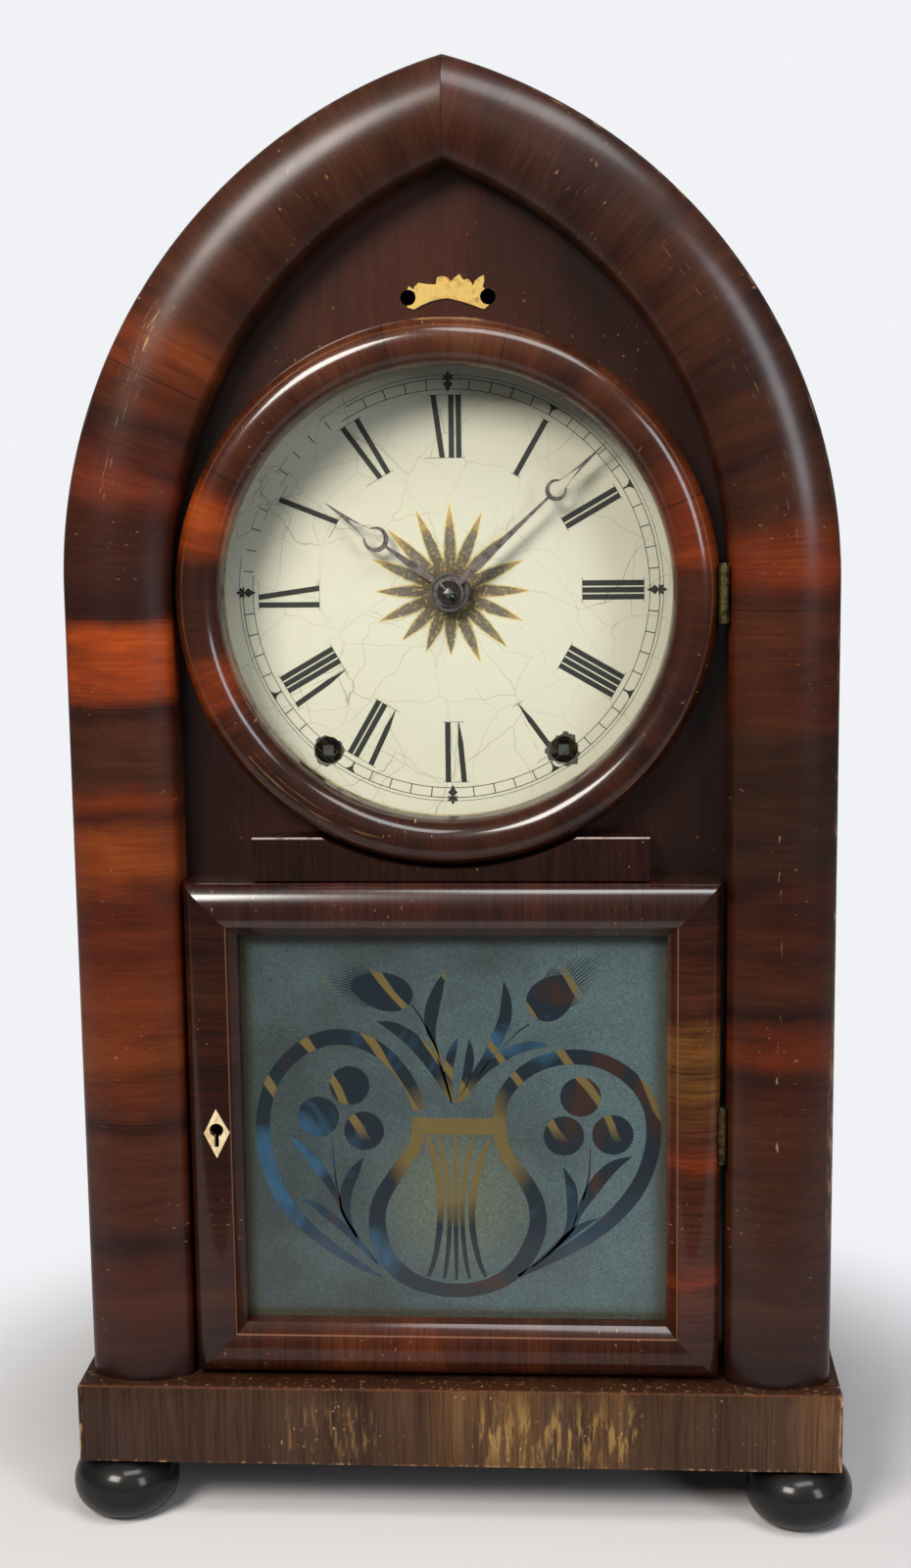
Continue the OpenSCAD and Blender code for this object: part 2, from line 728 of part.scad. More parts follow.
// The dial's screws go into its blocks, and the movement's screws into the strips of its seat
module wood_screws() {
    color(steel) {
        slab(dial_back, 1.2) dial_screw_holes(dial_screw_d / 2);
        slab(dial_front - dial_block_t + 1.6, dial_block_t - 1.6 + dial_t) dial_screw_holes(dial_screw_d / 4 - 0.02);
        at_movement([0, 0]) for (p = screw_places) {
            bar(p[0], p[1], inside_back - 1.4, inside_back, 3);
            bar(p[0], p[1], inside_back, board_front - 1.2, 1.28);
        }
    }
}

// Hinges: the case leaf has the outer knuckles and the door leaf the middle one

module knuckles(x, z, list) {
    third = hinge_l / 3;
    difference() {
        for (k = list) translate([x, hinge_y, z + (k - 0.5) * third + knuckle_gap]) cylinder(h = third - 2 * knuckle_gap, d = barrel_d);
        translate([x, hinge_y, z - hinge_l]) cylinder(h = 2 * hinge_l, d = hinge_pin_d + 2 * run_gap);
    }
}

module case_leaf(x, z) {
    reach = wall_x(z + hinge_l / 2) - x - leaf_gap / 2;
    difference() {
        union() {
            for (k = [-1, 1]) translate([x + leaf_gap / 2, hinge_y, z + (k - 0.5) * hinge_l / 3 + knuckle_gap])
                cube([reach, door_back - hinge_y - 2, hinge_l / 3 - 2 * knuckle_gap]);
            translate([x + leaf_gap / 2, hinge_y + barrel_room, z - hinge_l / 2 + knuckle_gap])
                cube([reach, door_back - hinge_y - 2 - barrel_room, hinge_l - 2 * knuckle_gap]);
            knuckles(x, z, [-1, 1]);
        }
        translate([x, hinge_y, z - hinge_l]) cylinder(h = 2 * hinge_l, d = hinge_pin_d + 2 * run_gap);
    }
}

module door_leaf(x, z) {
    difference() {
        union() {
            translate([x - leaf_gap / 2 - leaf_t, hinge_y, z - hinge_l / 6 + knuckle_gap])
                cube([leaf_t, door_back - hinge_y - 2, hinge_l / 3 - 2 * knuckle_gap]);
            translate([x - leaf_gap / 2 - leaf_t, hinge_y + barrel_room, z - hinge_l / 2 + knuckle_gap])
                cube([leaf_t, door_back - hinge_y - 2 - barrel_room, hinge_l - 2 * knuckle_gap]);
            knuckles(x, z, [0]);
        }
        translate([x, hinge_y, z - hinge_l]) cylinder(h = 2 * hinge_l, d = hinge_pin_d + 2 * run_gap);
    }
}

// The room that a hinge takes out of the edge of its door
module hinge_room(x, z) {
    translate([x, hinge_y, z - hinge_l / 2 - hinge_room_end]) cylinder(h = hinge_l + 2 * hinge_room_end, r = barrel_room);
    translate([x - leaf_gap / 2 - leaf_t, hinge_y - barrel_room, z - hinge_l / 2])
        cube([leaf_t + 2 * barrel_d, door_back - hinge_y - 2 + barrel_room, hinge_l]);
}

module hinge_case_leaves() { color(brass) { case_leaf(bezel_hinge_x, dial_z); case_leaf(door_hinge_x, door_hinge_z); } }
module bezel_hinge_leaf() { color(brass) door_leaf(bezel_hinge_x, dial_z); }
module door_hinge_leaf() { color(brass) door_leaf(door_hinge_x, door_hinge_z); }

module hinge_pins() {
    color(steel) for (p = [[bezel_hinge_x, dial_z], [door_hinge_x, door_hinge_z]])
        translate([p[0], hinge_y, p[1] - hinge_l / 2]) {
            cylinder(h = hinge_l, d = hinge_pin_d);
            translate([0, 0, hinge_l]) cylinder(h = pin_head, d = hinge_pin_d + 0.6);
        }
}

// Bezel

module bezel_ring() {
    color(wood_red) difference() {
        translate([dial_x, 0, dial_z]) rotate([90, 0, 0]) rotate_extrude() mirror([0, 1]) difference() {
            translate([bezel_r - bezel_w / 2, bezel_edge]) cushion(bezel_w, bezel_dome, bezel_round, bezel_side);
            translate([0, bezel_glass_front]) square([bezel_in + rabbet_w, bezel_side]);
        }
        hinge_room(bezel_hinge_x, dial_z);
    }
}

module bezel_glass() {
    color("#dfe8e6", 0.3) bar(dial_x, dial_z, bezel_glass_front, bezel_glass_back, bezel_in + rabbet_w - fit_gap);
}

module bezel_putty() {
    color("#8d8064") slab(bezel_glass_back, bezel_putty_t) translate([dial_x, dial_z]) difference() {
        circle(bezel_in + rabbet_w);
        circle(bezel_in);
    }
}

// Lower door

// A straight piece of the door's frame, along Z, with its middle at x and mitred at both ends
module frame_piece(length, mid_x) {
    linear_extrude(length) translate([mid_x, door_edge]) difference() {
        cushion(rail_w, door_dome, door_round, door_side);
        translate([rail_w / 2 - rabbet_w, tablet_front - door_edge]) square([rabbet_w + 1, door_side]);
    }
}

// One side of the door as a mitred wedge in the front view
module mitre(side) {
    m = rail_w;
    l = door_left;
    r = door_right;
    b = door_z;
    t = door_z + door_h;
    translate([0, door_back + 1, 0]) rotate([90, 0, 0]) linear_extrude(2 * door_side + door_dome)
        polygon(side == "left" ? [[l, b], [l + m, b + m], [l + m, t - m], [l, t]]
            : side == "right" ? [[r, b], [r - m, b + m], [r - m, t - m], [r, t]]
            : side == "top" ? [[l, t], [l + m, t - m], [r - m, t - m], [r, t]]
            : [[l, b], [l + m, b + m], [r - m, b + m], [r, b]]);
}

// The keyhole's outline: a round over a slot
module keyhole() {
    translate([key_x, key_z + keyhole_d / 4]) circle(d = keyhole_d);
    translate([key_x - slot_d / 2, key_z - keyhole_d]) square([slot_d, keyhole_d]);
}

module diamond(grow) {
    translate([key_x, key_z]) polygon([[-escutcheon_w / 2 - grow, 0], [0, -escutcheon_h / 2 - grow],
        [escutcheon_w / 2 + grow, 0], [0, escutcheon_h / 2 + grow]]);
}

module lock_room() {
    translate([lock_left - 3, door_back - lock_t, key_z - lock_h / 2]) cube([lock_w + 3, lock_t + 1, lock_h]);
}

module door_stile_left() {
    color(wood_red) difference() {
        intersection() {
            translate([0, 0, door_z]) frame_piece(door_h, door_left + rail_w / 2);
            mitre("left");
        }
        slab(door_edge - 2 * door_dome, 2 * door_dome + door_side + 1) keyhole();
        slab(door_edge - door_dome - 1, door_dome + 1 + escutcheon_t - door_dome) diamond(0);
        lock_room();
    }
}

module door_stile_right() {
    color(wood_red) difference() {
        intersection() {
            translate([0, 0, door_z]) mirror([1, 0, 0]) frame_piece(door_h, -door_right + rail_w / 2);
            mitre("right");
        }
        hinge_room(door_hinge_x, door_hinge_z);
    }
}

module door_rail_bottom() {
    color(wood_red) intersection() {
        translate([door_right, 0, door_z]) rotate([0, -90, 0]) frame_piece(door_w, rail_w / 2);
        mitre("bottom");
    }
}

module door_rail_top() {
    color(wood_red) intersection() {
        translate([door_left, 0, door_z + door_h]) rotate([0, 90, 0]) frame_piece(door_w, rail_w / 2);
        mitre("top");
    }
}

module pane(inset, y, t) {
    slab(y, t) translate([sight_left - rabbet_w + inset, sight_low - rabbet_w + inset])
        square([sight_right - sight_left + 2 * (rabbet_w - inset), sight_high - sight_low + 2 * (rabbet_w - inset)]);
}

module tablet_glass() { color("#6f8488", 0.8) pane(fit_gap, tablet_front, glass_t); }

module glass_beads() {
    bead_t = 3;
    color(wood_brown) difference() {
        pane(0, tablet_front + glass_t, bead_t);
        pane(rabbet_w, tablet_front + glass_t - 1, bead_t + 2);
        lock_room();
    }
}

module escutcheon() {
    color("#cdbb95") difference() {
        intersection() {
            translate([0, 0, door_z]) linear_extrude(door_h) translate([door_left + rail_w / 2, door_edge - escutcheon_proud])
                cushion(rail_w, door_dome, door_round, door_side);
            slab(door_edge - door_dome - 1, door_dome + 1 + escutcheon_t - door_dome) diamond(0);
        }
        slab(door_edge - 2 * door_dome, 3 * door_dome + 2) keyhole();
    }
}

module lock_case() {
    color(steel) difference() {
        translate([lock_left, door_back - lock_t, key_z - lock_h / 2]) cube([lock_w, lock_t, lock_h]);
        translate([lock_left - 1, bolt_y - bolt_t / 2 - run_gap, key_z - bolt_h / 2 - run_gap])
            cube([lock_w, bolt_t + 2 * run_gap, bolt_h + 2 * run_gap]);
        slab(door_back - lock_t - 1, lock_t / 2 + 1) keyhole();
    }
}

module lock_bolt() {
    color(steel) translate([lock_left - 0.4, bolt_y - bolt_t / 2, key_z - bolt_h / 2]) cube([lock_w - 1.2, bolt_t, bolt_h]);
}

// Hands: the outline points up before it is turned

module hand_shape(length, ring_at, ring_d, hub_d, bore_r) {
    hole = 0.66 * ring_d;
    difference() {
        union() {
            circle(d = hub_d);
            polygon([[-0.2 * hub_d, 0], [0.2 * hub_d, 0], [0.09 * hub_d, ring_at - ring_d / 2 + 0.5], [-0.09 * hub_d, ring_at - ring_d / 2 + 0.5]]);
            translate([0, ring_at]) circle(d = ring_d);
            polygon([[-0.34 * ring_d, ring_at + 0.36 * ring_d], [0.34 * ring_d, ring_at + 0.36 * ring_d], [0.25, length], [-0.25, length]]);
        }
        circle(bore_r);
        translate([0, ring_at]) circle(d = hole);
    }
}

module hour_hand() {
    color("#2b2d31") slab(hour_hand_y, hand_t) translate([dial_x, dial_z]) rotate(-hour_angle)
        hand_shape(hour_hand_l, hour_ring_at, hour_ring_d, hour_hub_d, hour_pipe_d / 2 - 0.4);
}

module minute_hand() {
    color("#2b2d31") slab(minute_hand_y, hand_t) translate([dial_x, dial_z]) difference() {
        rotate(-minute_angle) hand_shape(minute_hand_l, minute_ring_at, minute_ring_d, minute_hub_d, 0.5);
        rotate(45) square(arbor_square, center = true);
    }
}

module taper_pin(r, length) { translate([0, collet_y - 0.5, 0]) rotate([0, -45, 0]) cylinder(h = length, r = r, center = true); }

// The washer over the minute hand and the pin through the arbor that holds it
module hand_collet() {
    color("#4a4c50") at_movement(centre_at) {
        slab(collet_y, collet_t) difference() {
            circle(minute_hub_d / 2 - 0.8);
            rotate(45) square(arbor_square, center = true);
        }
        taper_pin(0.5, minute_hub_d);
    }
}

// Wheels, pinions and arbors

module wheel_teeth(n, m, t) {
    r = n * m / 2;
    a = 180 / n;
    rotate(t) polygon([for (k = [0:n - 1], s = [[-0.5, -1], [-0.2, 0.7], [0.2, 0.7], [0.5, -1]])
        (r + s[1] * m) * unit(k * 360 / n + s[0] * a)]);
}

// A crossed wheel with four spokes
module wheel_shape(n, m, t, hub, bore) {
    r = n * m / 2;
    rim = r - 3.2 * m - 1;
    difference() {
        wheel_teeth(n, m, t);
        circle(bore);
        difference() {
            circle(rim);
            circle(hub);
            for (a = [0, 90]) rotate(a) square([2 * r, 3.2], center = true);
        }
    }
}

module wheel(p, y, thick, n, m, t, hub, bore) { at_movement(p) slab(y, thick) wheel_shape(n, m, t, hub, bore); }

// A lantern pinion: pins between two shrouds. Its pins are n at module m, and its face is between y0 and y1
module lantern(p, y0, y1, n, m, t) {
    r = n * m / 2;
    pin = pin_share * PI * m / 2;
    at_movement(p) {
        for (y = [y0 - shroud_t, y1]) slab(y, shroud_t) circle(r + 2 * pin);
        for (k = [0:n - 1]) let(u = r * unit(t + k * 360 / n)) bar(u[0], u[1], y0 - shroud_t / 2, y1 + shroud_t / 2, pin);
    }
}

// An arbor with a pivot at each end that runs in the plates
module arbor(p) {
    at_movement(p) {
        bar(0, 0, inside_front + 0.2, inside_back - 0.2, arbor_d / 2);
        bar(0, 0, plate_front, plate_back, pivot_d / 2);
    }
}

module plate_shape(bores) {
    difference() {
        polygon(plate_corners);
        for (p = bores) translate(p) circle(pivot_d / 2 + run_gap);
        for (p = [time_great_at, strike_great_at]) translate(p) circle(winding_arbor_d / 2 - 0.5 + run_gap);
        for (p = pillar_places) translate(p) circle(pillar_d / 4 + 0.02);
        for (w = [[32, 40, 11], [-40, 44, 8], [44, -4, 8], [-50, -34, 7]]) translate([w[0], w[1]]) circle(w[2]);
    }
}

module movement_back_plate() {
    bores = [centre_at, second_at, fourth_at, escape_at, strike_second_at, pin_wheel_at, fly_at, hammer_at, lever_at];
    color(brass) at_movement([0, 0]) slab(inside_back, plate_t) difference() {
        plate_shape(bores);
        for (p = screw_places) translate(p) circle(1.7);
    }
}

// The front plate carries the stud of the minute wheel, the stud of the verge and the pendulum's cock
module movement_front_plate() {
    bores = [second_at, fourth_at, strike_second_at, pin_wheel_at, fly_at, hammer_at, lever_at];
    cock_z = verge_at[1] + suspension_l / 2 + 3.4;
    color(brass) at_movement([0, 0]) {
        slab(plate_front, plate_t) difference() {
            plate_shape(bores);
            circle(centre_arbor_d / 2 + run_gap);
            translate(escape_at) circle(arbor_d / 2 + run_gap);
        }
        bar(minute_at[0], minute_at[1], hour_wheel_y - 1.6, plate_front, 1.2);
        bar(verge_at[0], verge_at[1], escape_y - 3.4, plate_front, 1);
        difference() {
            translate([verge_at[0] - cock_w / 2, rod_y - 2, cock_z - cock_h / 2]) cube([cock_w, plate_front - rod_y + 2, cock_h]);
            translate([verge_at[0] - cock_w / 2 + 1, rod_y - 0.2, cock_z - cock_h]) cube([cock_w - 2, 0.4, 2 * cock_h]);
        }
    }
}

module plate_pillars() {
    color(brass) at_movement([0, 0]) for (p = pillar_places) {
        bar(p[0], p[1], inside_front, inside_back, pillar_d / 2);
        bar(p[0], p[1], plate_front - 0.8, plate_back, pillar_d / 4);
        bar(p[0], p[1], plate_back, board_front, pillar_d / 2);
    }
}

// Two strips on the backboard that the movement is screwed to
module movement_seat() {
    color(pine) at_movement([0, 0]) for (s = [-1, 1]) difference() {
        translate([s * seat_x - seat_w / 2, plate_back, -seat_drop]) cube([seat_w, board_front - plate_back, seat_h]);
        for (p = screw_places) bar(p[0], p[1], plate_back - 1, board_front - 1, 1.3);
        for (p = pillar_places) bar(p[0], p[1], plate_back - 1, board_front + 1, pillar_d / 2 + fit_gap);
    }
}

// A winding arbor: a square end behind the dial, two pivots and the post that the mainspring is hooked to
module winding_arbor(p) {
    neck = winding_arbor_d / 2 - 0.5;
    color(steel) at_movement(p) {
        translate([-winding_square / 2, dial_front + 0.4, -winding_square / 2]) cube([winding_square, plate_front - dial_front - 1.4, winding_square]);
        bar(0, 0, plate_front - 1, plate_back, neck);
        bar(0, 0, inside_front + 0.2, inside_back - 0.2, winding_arbor_d / 2);
    }
}

// A great wheel with the ratchet hub that the winding arbor turns in
module great_wheel(p, t) {
    color(brass) {
        wheel(p, great_y, great_t, great_n, great_m, t, 11, winding_arbor_d / 2 + run_gap);
        at_movement(p) slab(great_y + great_t, 2) difference() {
            circle(7.5);
            circle(winding_arbor_d / 2 + run_gap);
        }
    }
}

module spiral(r0, pitch, turns, strip) {
    for (k = [0:turns - 1], lower = [0, 1]) {
        r = r0 + (k + lower / 2) * pitch;
        translate([lower * pitch / 2, 0]) intersection() {
            difference() {
                circle(r + strip / 2);
                circle(r - strip / 2);
            }
            translate([-2 * r, lower ? -2 * r : 0]) square([4 * r, 2 * r]);
        }
    }
}

// A mainspring from its arbor outwards, up the side and over the pillar that holds its end
module mainspring() {
    t = spring_strip_t;
    rise = hook_z + winding_drop;
    spiral(spring_in, mainspring_pitch, mainspring_turns, t);
    translate([spring_out - t / 2, 0]) square([t, rise]);
    translate([spring_out - hook_r, rise]) intersection() {
        difference() {
            circle(hook_r + t / 2);
            circle(hook_r - t / 2);
        }
        translate([-2 * hook_r, 0]) square([4 * hook_r, 2 * hook_r]);
    }
}

module mainsprings() {
    color("#6a6f78") {
        at_movement(time_great_at) slab(spring_y, spring_strip_h) mainspring();
        at_movement(strike_great_at) slab(spring_y, spring_strip_h) mirror([1, 0]) mainspring();
    }
}

module time_winding_arbor() { winding_arbor(time_great_at); }
module strike_winding_arbor() { winding_arbor(strike_great_at); }
module time_great_wheel() { great_wheel(time_great_at, 0); }

// The strike side's great wheel also carries the count wheel, whose notches stand further and further apart
module strike_great_wheel() {
    great_wheel(strike_great_at, 0);
    color(brass) at_movement(strike_great_at) slab(great_y + great_t + 0.7, 0.9) difference() {
        circle(count_r);
        circle(winding_arbor_d / 2 + 1);
        for (hour = [1:12]) rotate(count_start - (hour * (hour + 1) / 2) * 360 / 78) translate([count_r - 3, -0.7]) square([4, 1.4]);
        for (a = [0:60:300]) rotate(a) translate([0.55 * count_r, 0]) circle(4);
    }
}

module second_wheel() {
    color(brass) {
        arbor(second_at);
        lantern(second_at, great_y - 0.4, great_y + great_t + 0.4, second_pins, great_m, mesh_turn(time_great_at, great_n, second_at, second_pins));
        wheel(second_at, second_y, wheel_t, second_n, second_m, 0, 5, arbor_d / 2 - 0.1);
    }
}

// The centre arbor carries the centre wheel, the cannon pinion, the strike's cam and, on a square, the minute hand
module centre_wheel() {
    color(brass) {
        at_movement(centre_at) {
            bar(0, 0, minute_hand_y + hand_t, inside_front + 6, centre_arbor_d / 2);
            bar(0, 0, inside_front + 5, inside_back - 0.2, arbor_d / 2);
            bar(0, 0, inside_back - 1, plate_back, pivot_d / 2);
            slab(cam_y, 1.2) rotate(20) square([2 * cam_r - 0.4, 3.4], center = true);
            difference() {
                slab(arbor_tip_y, minute_hand_y + hand_t + 1 - arbor_tip_y) rotate(45) square(arbor_square, center = true);
                taper_pin(0.52, 3 * arbor_square);
            }
        }
        lantern(centre_at, second_y - 0.1, second_y + wheel_t + 0.3, centre_pins, second_m, mesh_turn(second_at, second_n, centre_at, centre_pins));
        lantern(centre_at, minute_wheel_y - 0.3, minute_wheel_y + wheel_t + 0.3, cannon_pins, minute_m, mesh_turn(minute_at, minute_n, centre_at, cannon_pins));
        wheel(centre_at, centre_y, wheel_t, centre_n, centre_m, 0, 5, arbor_d / 2 - 0.1);
    }
}

module fourth_wheel() {
    color(brass) {
        arbor(fourth_at);
        lantern(fourth_at, centre_y - 0.4, centre_y + wheel_t + 0.4, fourth_pins, centre_m, mesh_turn(centre_at, centre_n, fourth_at, fourth_pins));
        wheel(fourth_at, fourth_y, wheel_t, fourth_n, fourth_m, 0, 4, arbor_d / 2 - 0.1);
    }
}

// The escape wheel runs in front of the front plate, and its teeth lean forward
module escape_wheel() {
    step = 360 / escape_n;
    color(brass) {
        at_movement(escape_at) {
            bar(0, 0, escape_y - 0.4, inside_back - 0.2, arbor_d / 2);
            bar(0, 0, inside_back - 1, plate_back, pivot_d / 2);
            slab(escape_y, escape_t) difference() {
                polygon([for (k = [0:escape_n - 1], s = [[0, 0.86], [0.18, 1], [0.26, 1], [0.62, 0.86]]) escape_r * s[1] * unit(-(k + s[0]) * step)]);
                difference() {
                    circle(0.72 * escape_r);
                    circle(3.4);
                    for (a = [0, 90]) rotate(a) square([2 * escape_r, 2], center = true);
                }
            }
        }
        lantern(escape_at, fourth_y - 0.4, fourth_y + wheel_t + 0.4, escape_pins, fourth_m, mesh_turn(fourth_at, fourth_n, escape_at, escape_pins));
    }
}

// The verge: a strip of steel with two pallets on a brass saddle, and the crutch that holds the pendulum's rod
module verge() {
    reach = escape_r + pallet_gap;
    span = 52;
    crutch_z = verge_at[1] - crutch_l;
    stem_l = verge_rise - escape_r - 1;
    loop = rod_d / 2 + 0.25;
    color(steel) at_movement([0, 0]) {
        slab(escape_y - 0.6, escape_t + 1.2) difference() {
            union() {
                translate(escape_at) difference() {
                    circle(reach + 3);
                    circle(reach + 1.6);
                    translate([-2 * reach, -2 * reach]) square([4 * reach, 2 * reach + reach * sin(90 - span)]);
                }
                for (s = [-1, 1]) translate(escape_at) rotate(90 - s * span) translate([reach, -0.7]) square([2.6, 1.4]);
                translate(verge_at) circle(2.6);
                translate([verge_at[0] - 1.2, verge_at[1] - stem_l]) square([2.4, stem_l]);
            }
            translate(verge_at) circle(1 + run_gap);
        }
        slab(escape_y - 2.4, 1.8) translate(verge_at) difference() {
            circle(2.2);
            circle(1 + run_gap);
        }
        slab(escape_y - 2.4, 1.2) translate([verge_at[0] - 0.7, crutch_z]) square([1.4, crutch_l - 2]);
        difference() {
            translate([verge_at[0] - loop - 1, rod_y - loop - 1, crutch_z]) cube([2 * loop + 2, escape_y - 1.2 - rod_y + loop + 1, 1.2]);
            translate([verge_at[0] - loop, rod_y - loop, crutch_z - 1]) cube([2 * loop, 2 * loop, 3]);
        }
    }
}

// The rod hangs from a strip of spring steel whose bend lies level with the verge's axis
module pendulum_rod() {
    bob_low = pendulum_l + bob_d / 2 - 0.5;
    low = bob_low + 5;
    neck = suspension_l / 2;
    color(steel) at_movement(verge_at) {
        translate([-2, rod_y - 0.08, -neck]) cube([4, 0.16, suspension_l + 3.2]);
        translate([-2.4, rod_y - 1.1, -neck - 5]) cube([4.8, 2.2, 5.2]);
        translate([0, rod_y, -low]) cylinder(h = low - neck - 1, d = rod_d);
        translate([0, rod_y, -bob_low - 3]) cylinder(h = 3, d = 5.2);
    }
}

module pendulum_bob() {
    half = bob_t / 2;
    dish = (bob_d * bob_d / 4 + half * half) / (2 * half);
    color(brass) at_movement(verge_at) translate([0, rod_y, -pendulum_l]) difference() {
        rotate([90, 0, 0]) rotate_extrude() intersection() {
            translate([0, half - dish]) circle(dish, $fn = 960);
            translate([0, dish - half]) circle(dish, $fn = 960);
            translate([0, -half]) square([bob_d / 2 - 0.5, bob_t]);
        }
        cylinder(h = 2 * bob_d, d = rod_d + 2 * run_gap, center = true);
    }
}

// Motion works

module minute_wheel() {
    color(brass) {
        at_movement(minute_at) slab(minute_wheel_y, wheel_t) difference() {
            wheel_teeth(minute_n, minute_m, 0);
            circle(1.2 + run_gap);
        }
        difference() {
            union() {
                lantern(minute_at, hour_wheel_y - 0.3, hour_wheel_y + wheel_t + 0.3, minute_pins, hour_m, 0);
                at_movement(minute_at) slab(hour_wheel_y + wheel_t, minute_wheel_y - hour_wheel_y - wheel_t) circle(2.4);
                at_movement(minute_at) slab(hour_wheel_y - 0.6, wheel_t + 1.2) circle(hour_m * minute_pins / 2 - 1);
            }
            at_movement(minute_at) bar(0, 0, hour_wheel_y - 3, minute_wheel_y + 3, 1.2 + run_gap);
        }
    }
}

// The hour wheel and the pipe that the hour hand is pressed on
module hour_wheel() {
    turn = mesh_turn(minute_at, minute_pins, centre_at, hour_n);
    color(brass) at_movement(centre_at) {
        slab(hour_wheel_y, wheel_t) difference() {
            wheel_teeth(hour_n, hour_m, turn);
            circle(hour_pipe_bore);
        }
        slab(hour_hand_y + hand_t, hour_wheel_y - hour_hand_y - hand_t) difference() {
            circle(d = hour_pipe_d);
            circle(hour_pipe_bore);
        }
        slab(hour_hand_y, hand_t) difference() {
            circle(hour_pipe_d / 2 - 0.4);
            circle(hour_pipe_bore);
        }
    }
}

// Strike train

module strike_second_wheel() {
    r = lift_pins_r;
    color(brass) {
        arbor(strike_second_at);
        lantern(strike_second_at, great_y - 0.4, great_y + great_t + 0.4, second_pins, great_m, mesh_turn(strike_great_at, great_n, strike_second_at, second_pins));
        wheel(strike_second_at, strike_second_y, wheel_t, centre_n, centre_m, 0, 5, arbor_d / 2 - 0.1);
        at_movement(strike_second_at) for (k = [0:12]) let(u = r * unit(k * 360 / 13)) bar(u[0], u[1], strike_second_y, strike_second_y + wheel_t + 1.4, 0.8);
    }
}

module pin_wheel() {
    color(brass) {
        arbor(pin_wheel_at);
        lantern(pin_wheel_at, strike_second_y - 0.3, strike_second_y + wheel_t + 0.3, fourth_pins, centre_m, mesh_turn(strike_second_at, centre_n, pin_wheel_at, fourth_pins));
        wheel(pin_wheel_at, pin_wheel_y, wheel_t, pin_wheel_n, fourth_m, 0, 4, arbor_d / 2 - 0.1);
    }
}

module fly() {
    blade_y = inside_front + 6;
    color(brass) {
        arbor(fly_at);
        lantern(fly_at, pin_wheel_y - 0.4, pin_wheel_y + wheel_t + 0.4, escape_pins, fourth_m, mesh_turn(pin_wheel_at, pin_wheel_n, fly_at, escape_pins));
        at_movement(fly_at) {
            translate([-fly_r, blade_y, -0.3]) cube([2 * fly_r, pin_wheel_y - 3 - blade_y, 0.6]);
            bar(0, 0, blade_y, pin_wheel_y - 3, 2);
        }
    }
}

// The lever that a cam on the centre arbor lifts to let the strike go: a tail up to the cam and a hook in the count wheel
module strike_lever() {
    hook_l = norm(lever_at - strike_great_at) - count_r - 0.4;
    tail_l = norm(lever_at) - cam_r - 0.7;
    color(steel) {
        arbor(lever_at);
        at_movement(lever_at) {
            slab(great_y + great_t + 0.8, 0.7) rotate(heading(lever_at, strike_great_at)) union() {
                circle(2.4);
                translate([0, -0.6]) square([hook_l, 1.2]);
            }
            slab(cam_y + 0.2, 0.8) rotate(heading(lever_at, centre_at)) union() {
                circle(2.4);
                translate([0, -0.7]) square([tail_l, 1.4]);
            }
        }
    }
}

// The hammer: its tail ends just short of the pins, and its wire hangs between the mainsprings down to the gong
module hammer() {
    drop = dial_z + hammer_at[1] - gong_z;
    tail_y = strike_second_y + wheel_t + 0.4;
    pins_off = norm(strike_second_at - hammer_at) - lift_pins_r;
    color(steel) {
        arbor(hammer_at);
        at_movement(hammer_at) {
            slab(tail_y, 0.9) rotate(heading(hammer_at, strike_second_at)) translate([0, -0.8]) square([pins_off - 1.4, 1.6]);
            translate([0, gong_y, -drop]) cylinder(h = drop, r = 0.9);
            bar(0, 0, gong_y - 2, gong_y + 2, 2.4);
            translate([0, gong_y, -drop]) rotate([0, 90, 0]) cylinder(h = hammer_d, r = hammer_l / 2, center = true);
        }
    }
}

// Gong

module gong_block() {
    color(pine) translate([gong_x - gong_block_w / 2, board_front - gong_block_t, gong_z - gong_block_w / 2]) difference() {
        cube([gong_block_w, gong_block_t, gong_block_w]);
        translate([gong_block_w / 2, 8, gong_block_w / 2]) rotate([90, 0, 0]) cylinder(h = 9, d = 6.04);
    }
}

module gong_coil() {
    post_y = board_front - gong_block_t + 6;
    wire = gong_wire_d / 2;
    color(steel) translate([gong_x, 0, gong_z]) {
        translate([0, gong_y, 0]) rotate([90, 0, 0]) for (k = [0:gong_turns - 1], lower = [0, 1])
            translate([lower * gong_pitch / 2, 0, 0]) rotate([0, 0, lower * 180]) rotate_extrude(angle = 180)
                translate([gong_r0 + (k + lower / 2) * gong_pitch, 0]) circle(wire);
        translate([0, gong_y, 0]) rotate([0, 90, 0]) cylinder(h = gong_r0, r = wire);
        bar(0, 0, gong_y - wire - 1, post_y, 3);
        bar(0, 0, board_front - gong_block_t - 2.4, board_front - gong_block_t, 7);
    }
}

plinth_core();
plinth_front();
plinth_left();
plinth_right();
bun_feet();
arch_moulding_left();
arch_moulding_right();
side_shell_left();
side_shell_right();
backboard();
front_panel();
step_block();
gilt_ornament();
dial_blocks();
dial();
wood_screws();
gong_block();
gong_coil();
hinge_case_leaves();
hinge_pins();
bezel_ring();
bezel_glass();
bezel_putty();
bezel_hinge_leaf();
door_rail_top();
door_rail_bottom();
door_stile_left();
door_stile_right();
tablet_glass();
glass_beads();
door_hinge_leaf();
escutcheon();
lock_case();
lock_bolt();
movement_seat();
movement_back_plate();
movement_front_plate();
plate_pillars();
mainsprings();
time_winding_arbor();
time_great_wheel();
second_wheel();
centre_wheel();
fourth_wheel();
escape_wheel();
verge();
pendulum_rod();
pendulum_bob();
minute_wheel();
hour_wheel();
hour_hand();
minute_hand();
hand_collet();
strike_winding_arbor();
strike_great_wheel();
strike_second_wheel();
pin_wheel();
fly();
strike_lever();
hammer();
